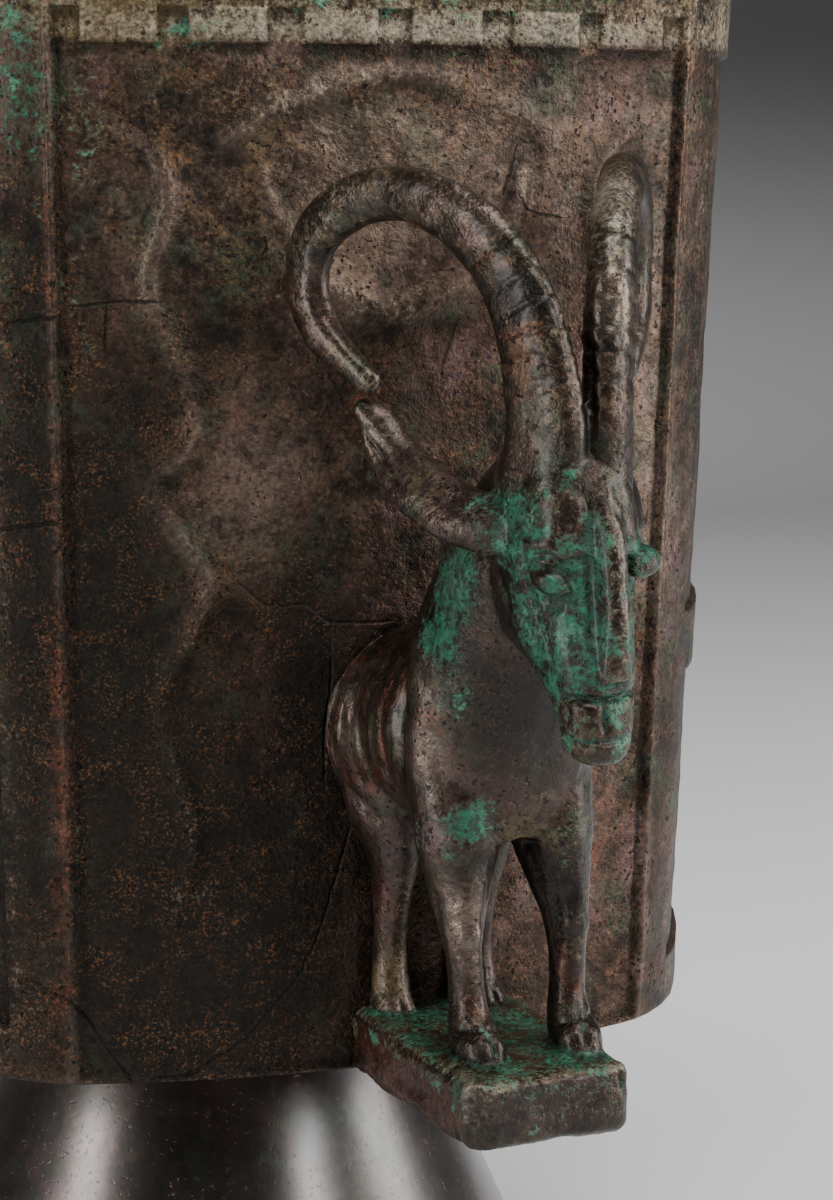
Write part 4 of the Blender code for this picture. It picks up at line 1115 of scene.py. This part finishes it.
# %% Old bronze
def old_bronze(name, shine=0.0, grit=1.0, wax=0.0, tone=1.0, cracked=False):
    """Patina in the order in which it grew: shine is for smooth metal, grit for a pitted crust,
    wax for the film with which a museum seals it, and tone for how light it is."""
    made, shader, start = begin_material(name)
    place = start.node('ShaderNodeTexCoord', out='Object')

    def mask(mask_name):
        return start.node('ShaderNodeAttribute', {'attribute_name': mask_name}, out='Fac')

    clouds = place.noise(26, 1, 3, 0.6, 0.5)
    mottle = place.noise(7, 2, 5, 0.68, 0.6)
    flecks = place.noise(2.0, 3, 4, 0.72, 0.4)
    fine = place.noise(0.75, 4, 2, 0.65)
    edge = mask("proud")
    mixed = (mottle - 0.5) * 1.7 + (flecks - 0.5) * 0.8
    grain = (fine - 0.5) * 0.9
    colour = (clouds * 0.45 + mottle * 0.35 + flecks * 0.2).rise(0.38, 0.60).blend(BLACK_BROWN, BROWN)
    colour = (clouds.rise(0.48, 0.60) * mottle.rise(0.45, 0.60)).blend(colour, PURPLE_BROWN)
    olive = place.noise(10, 11, 3, 0.65).rise(0.50, 0.62) * flecks.rise(0.36, 0.56)
    colour = (olive * 0.75).blend(colour, OLIVE)
    # Lighter worn metal: real wear and painted highlights alike.
    wear_and_highlight = (mask("wear_and_highlight") + mixed * 0.4 + grain * 0.3 + (clouds - 0.5) * 0.8 + edge * 0.25).rise(0.1, 1.1)
    colour = wear_and_highlight.blend(colour, WEAR_AND_HIGHLIGHT_BROWN)
    ochre = (mask("ochre") + mixed * 0.9 + grain).rise(0.30, 0.95)
    colour = (ochre * 0.75).blend(colour, OCHRE)
    # Soot, painted shade and painted shadow darken the colour here.
    soot_and_shade = (mask("soot_and_shade") + mixed * 0.7).rise(0.15, 0.95)
    colour = (soot_and_shade * 0.92).blend(colour, SHADE_AND_SOOT_BLACK)
    red = (mask("red") + mixed * 0.9 + grain * 0.6 - edge * 0.2).rise(0.32, 0.9)
    colour = (red * 0.62).blend(colour, RED)
    rust = place.noise(0.5, 7, 1, 0.7).rise(0.52, 0.66) * mottle.rise(0.40, 0.60)
    colour = (rust * 0.42 * grit).blend(colour, RUST)
    # Pale crust, and painted highlights where the masks place them.
    pale_crust_and_highlight = (mask("pale_crust_and_highlight") + mixed * 0.4 + grain * 1.2 + edge * 0.25).rise(0.24, 1.0)
    colour = (pale_crust_and_highlight * 0.75).blend(colour, PALE)
    green = (mask("green") + mixed * 1.15 + grain * 0.9 - edge * 0.2).rise(0.38, 0.80)
    greens = flecks.rise(0.40, 0.60).blend(GREEN_DEEP, GREEN)
    greens = (mottle.rise(0.50, 0.66) * fine.rise(0.40, 0.62)).blend(greens, GREEN_PALE)
    colour = (green * 0.86).blend(colour, greens)
    pits = place.noise(0.95, 6, 1, 0.5).rise(0.38, 0.30) * mottle.rise(0.44, 0.58)
    pits = pits * min(1.0, 2 * grit)
    colour = (pits * 0.8).blend(colour, SHADE_AND_SOOT_BLACK)
    hollow = edge.rise(-0.15, -0.80)
    colour = (hollow * 0.45).blend(colour, SHADE_AND_SOOT_BLACK)
    colour = start.node('ShaderNodeHueSaturation', None, {
        'Color': colour, 'Saturation': 1.03,
        'Value': tone + ((fine - 0.5) * 1.6 + (flecks - 0.5) * 0.9) * (0.2 + grit) * tone})
    swell = place.noise(14, 8, 2, 0.5) * 2.6
    height = (swell + mottle * 1.1 + flecks * 0.6 + fine * 0.24) * (1.0 - wear_and_highlight * 0.2) * grit
    height = height + (green * 0.30 + pale_crust_and_highlight * 0.12) * flecks - pits * 0.6
    if cracked:
        wander = (mottle - 0.5) * 1.8 + (flecks - 0.5) * 1.2
        for group in "ab":
            line = abs(mask("crack_" + group) + wander * 0.6).rise(0.42, 0.05)
            line = line * mask("crack_" + group + "_near") * flecks.rise(0.34, 0.52)
            colour = (line * 0.7).blend(colour, SHADE_AND_SOOT_BLACK)
            height = height - line * 0.7
    join(shader, 'Base Color', colour)
    crust = green.larger(pale_crust_and_highlight * 0.8).larger(ochre * 0.5)
    join(shader, 'Metallic', 0.72 - crust * 0.5 - soot_and_shade * 0.1)
    shader.inputs['Specular IOR Level'].default_value = 0.24 + wax
    shader.inputs['Coat Weight'].default_value = wax
    shader.inputs['Coat Roughness'].default_value = 0.25
    join(shader, 'Roughness', 0.45 - shine + crust * 0.18 + soot_and_shade * 0.12 + (flecks - 0.5) * 0.3 * grit
         + (fine - 0.5) * 0.2 * grit - wear_and_highlight * 0.12 + pits * 0.2)
    bump = start.node('ShaderNodeBump', None, {'Strength': 1.0, 'Distance': 0.0009,
                                               'Height': height})
    join(shader, 'Normal', bump)
    return made


# %% Give each piece its patina
for piece, patina in ((cup, old_bronze("cup_patina", cracked=True)),
                      (foot, old_bronze("foot_patina", shine=0.13, grit=0.06, wax=0.8, tone=0.7)),
                      (ibex, old_bronze("ibex_patina", shine=0.11, grit=0.62, wax=0.18, tone=0.85))):
    piece.data.materials.clear()
    piece.data.materials.append(patina)
    print(patina.name, "has", len(patina.node_tree.nodes), "nodes")

# %% Tie the pieces to the frame
for piece, node, slot in ((cup, "cup", "dark_bronze"), (foot, "conical_foot", "worn_bronze"),
                          (ibex, "ibex", "patina_bronze")):
    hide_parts(node)
    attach(piece, "root")
print("The three pieces ride on the frame")

# %% [markdown]
# ## Floor and light
# A pale sweep stands in for studio paper: its far edge is drawn up into a wall, so no horizon
# shows. Large soft lights stand at the right, above and at the left, because dark bronze shows
# its form mostly by the pale shapes that it mirrors.

# %% Floor
FLOOR_SIZE = 3.2
SWEEP = 0.6
WALL_HEIGHT = 2.5
bpy.ops.object.select_all(action='DESELECT')
bpy.ops.mesh.primitive_plane_add(size=FLOOR_SIZE, location=(0, -0.3, 0))
floor = bpy.context.object
floor.name = "studio_floor"
bpy.ops.object.transform_apply(location=True)
bpy.ops.object.mode_set(mode='EDIT')
bpy.ops.mesh.select_all(action='DESELECT')
bpy.ops.object.mode_set(mode='OBJECT')
for edge in floor.data.edges:
    edge.select = all(floor.data.vertices[i].co.y > 1 for i in edge.vertices)
bpy.ops.object.mode_set(mode='EDIT')
bpy.ops.mesh.select_mode(type='EDGE')
for turn in np.radians(np.linspace(5, 85, 9)):
    step = SWEEP * math.radians(10)
    bpy.ops.mesh.extrude_region_move(TRANSFORM_OT_translate={
        "value": (0, step * math.cos(turn), step * math.sin(turn))})
bpy.ops.mesh.extrude_region_move(TRANSFORM_OT_translate={"value": (0, 0, WALL_HEIGHT)})
bpy.ops.object.mode_set(mode='OBJECT')
bpy.ops.object.shade_smooth()
print("Floor:", len(floor.data.polygons), "faces")

# %% Studio paper
PAPER = (0.91, 0.91, 0.91)
PAPER_IN_SHADE = (0.13, 0.13, 0.13)
paper, paper_shader, start = begin_material("studio_paper")
place = start.node('ShaderNodeTexCoord', out='Object')
height = start.node('ShaderNodeSeparateXYZ', None, {'Vector': place}, out='Z')
drawn = height + (place.noise(300, 9, 2) - 0.5) * 0.01
join(paper_shader, 'Base Color', drawn.rise(-0.05, 0.36).blend(PAPER, PAPER_IN_SHADE))
paper_shader.inputs['Roughness'].default_value = 0.9
floor.data.materials.append(paper)
print("The paper darkens with height, from the floor up")


# %% Lights
def softbox(name, place, aim, size, power):
    """A square light of the given size in metres, turned to face the place it aims at."""
    bpy.ops.object.light_add(type='AREA', location=place)
    light = bpy.context.object
    light.name = name
    light.data.shape = 'RECTANGLE'
    light.data.size, light.data.size_y = size
    light.data.energy = power
    away = light.location - type(light.location)(aim)
    light.rotation_euler = away.to_track_quat('Z', 'Y').to_euler()
    return light


AIM = (0, -0.05, 0.17)
softbox("right_light", (1.05, -0.45, 0.50), AIM, (0.4, 0.9), 12)
softbox("top_light", (0.05, -0.50, 1.25), AIM, (0.8, 0.5), 12)
softbox("front_light", (0.52, -1.00, 0.56), AIM, (0.22, 0.3), 5)
softbox("left_light", (-1.18, -0.22, 0.32), AIM, (0.20, 0.8), 10)

# %% Soft light from all round
world = bpy.data.worlds.new("studio_air")
bpy.context.scene.world = world
world.use_nodes = True
world.node_tree.nodes['Background'].inputs['Color'].default_value = (0.40, 0.40, 0.41, 1)
world.node_tree.nodes['Background'].inputs['Strength'].default_value = 0.22
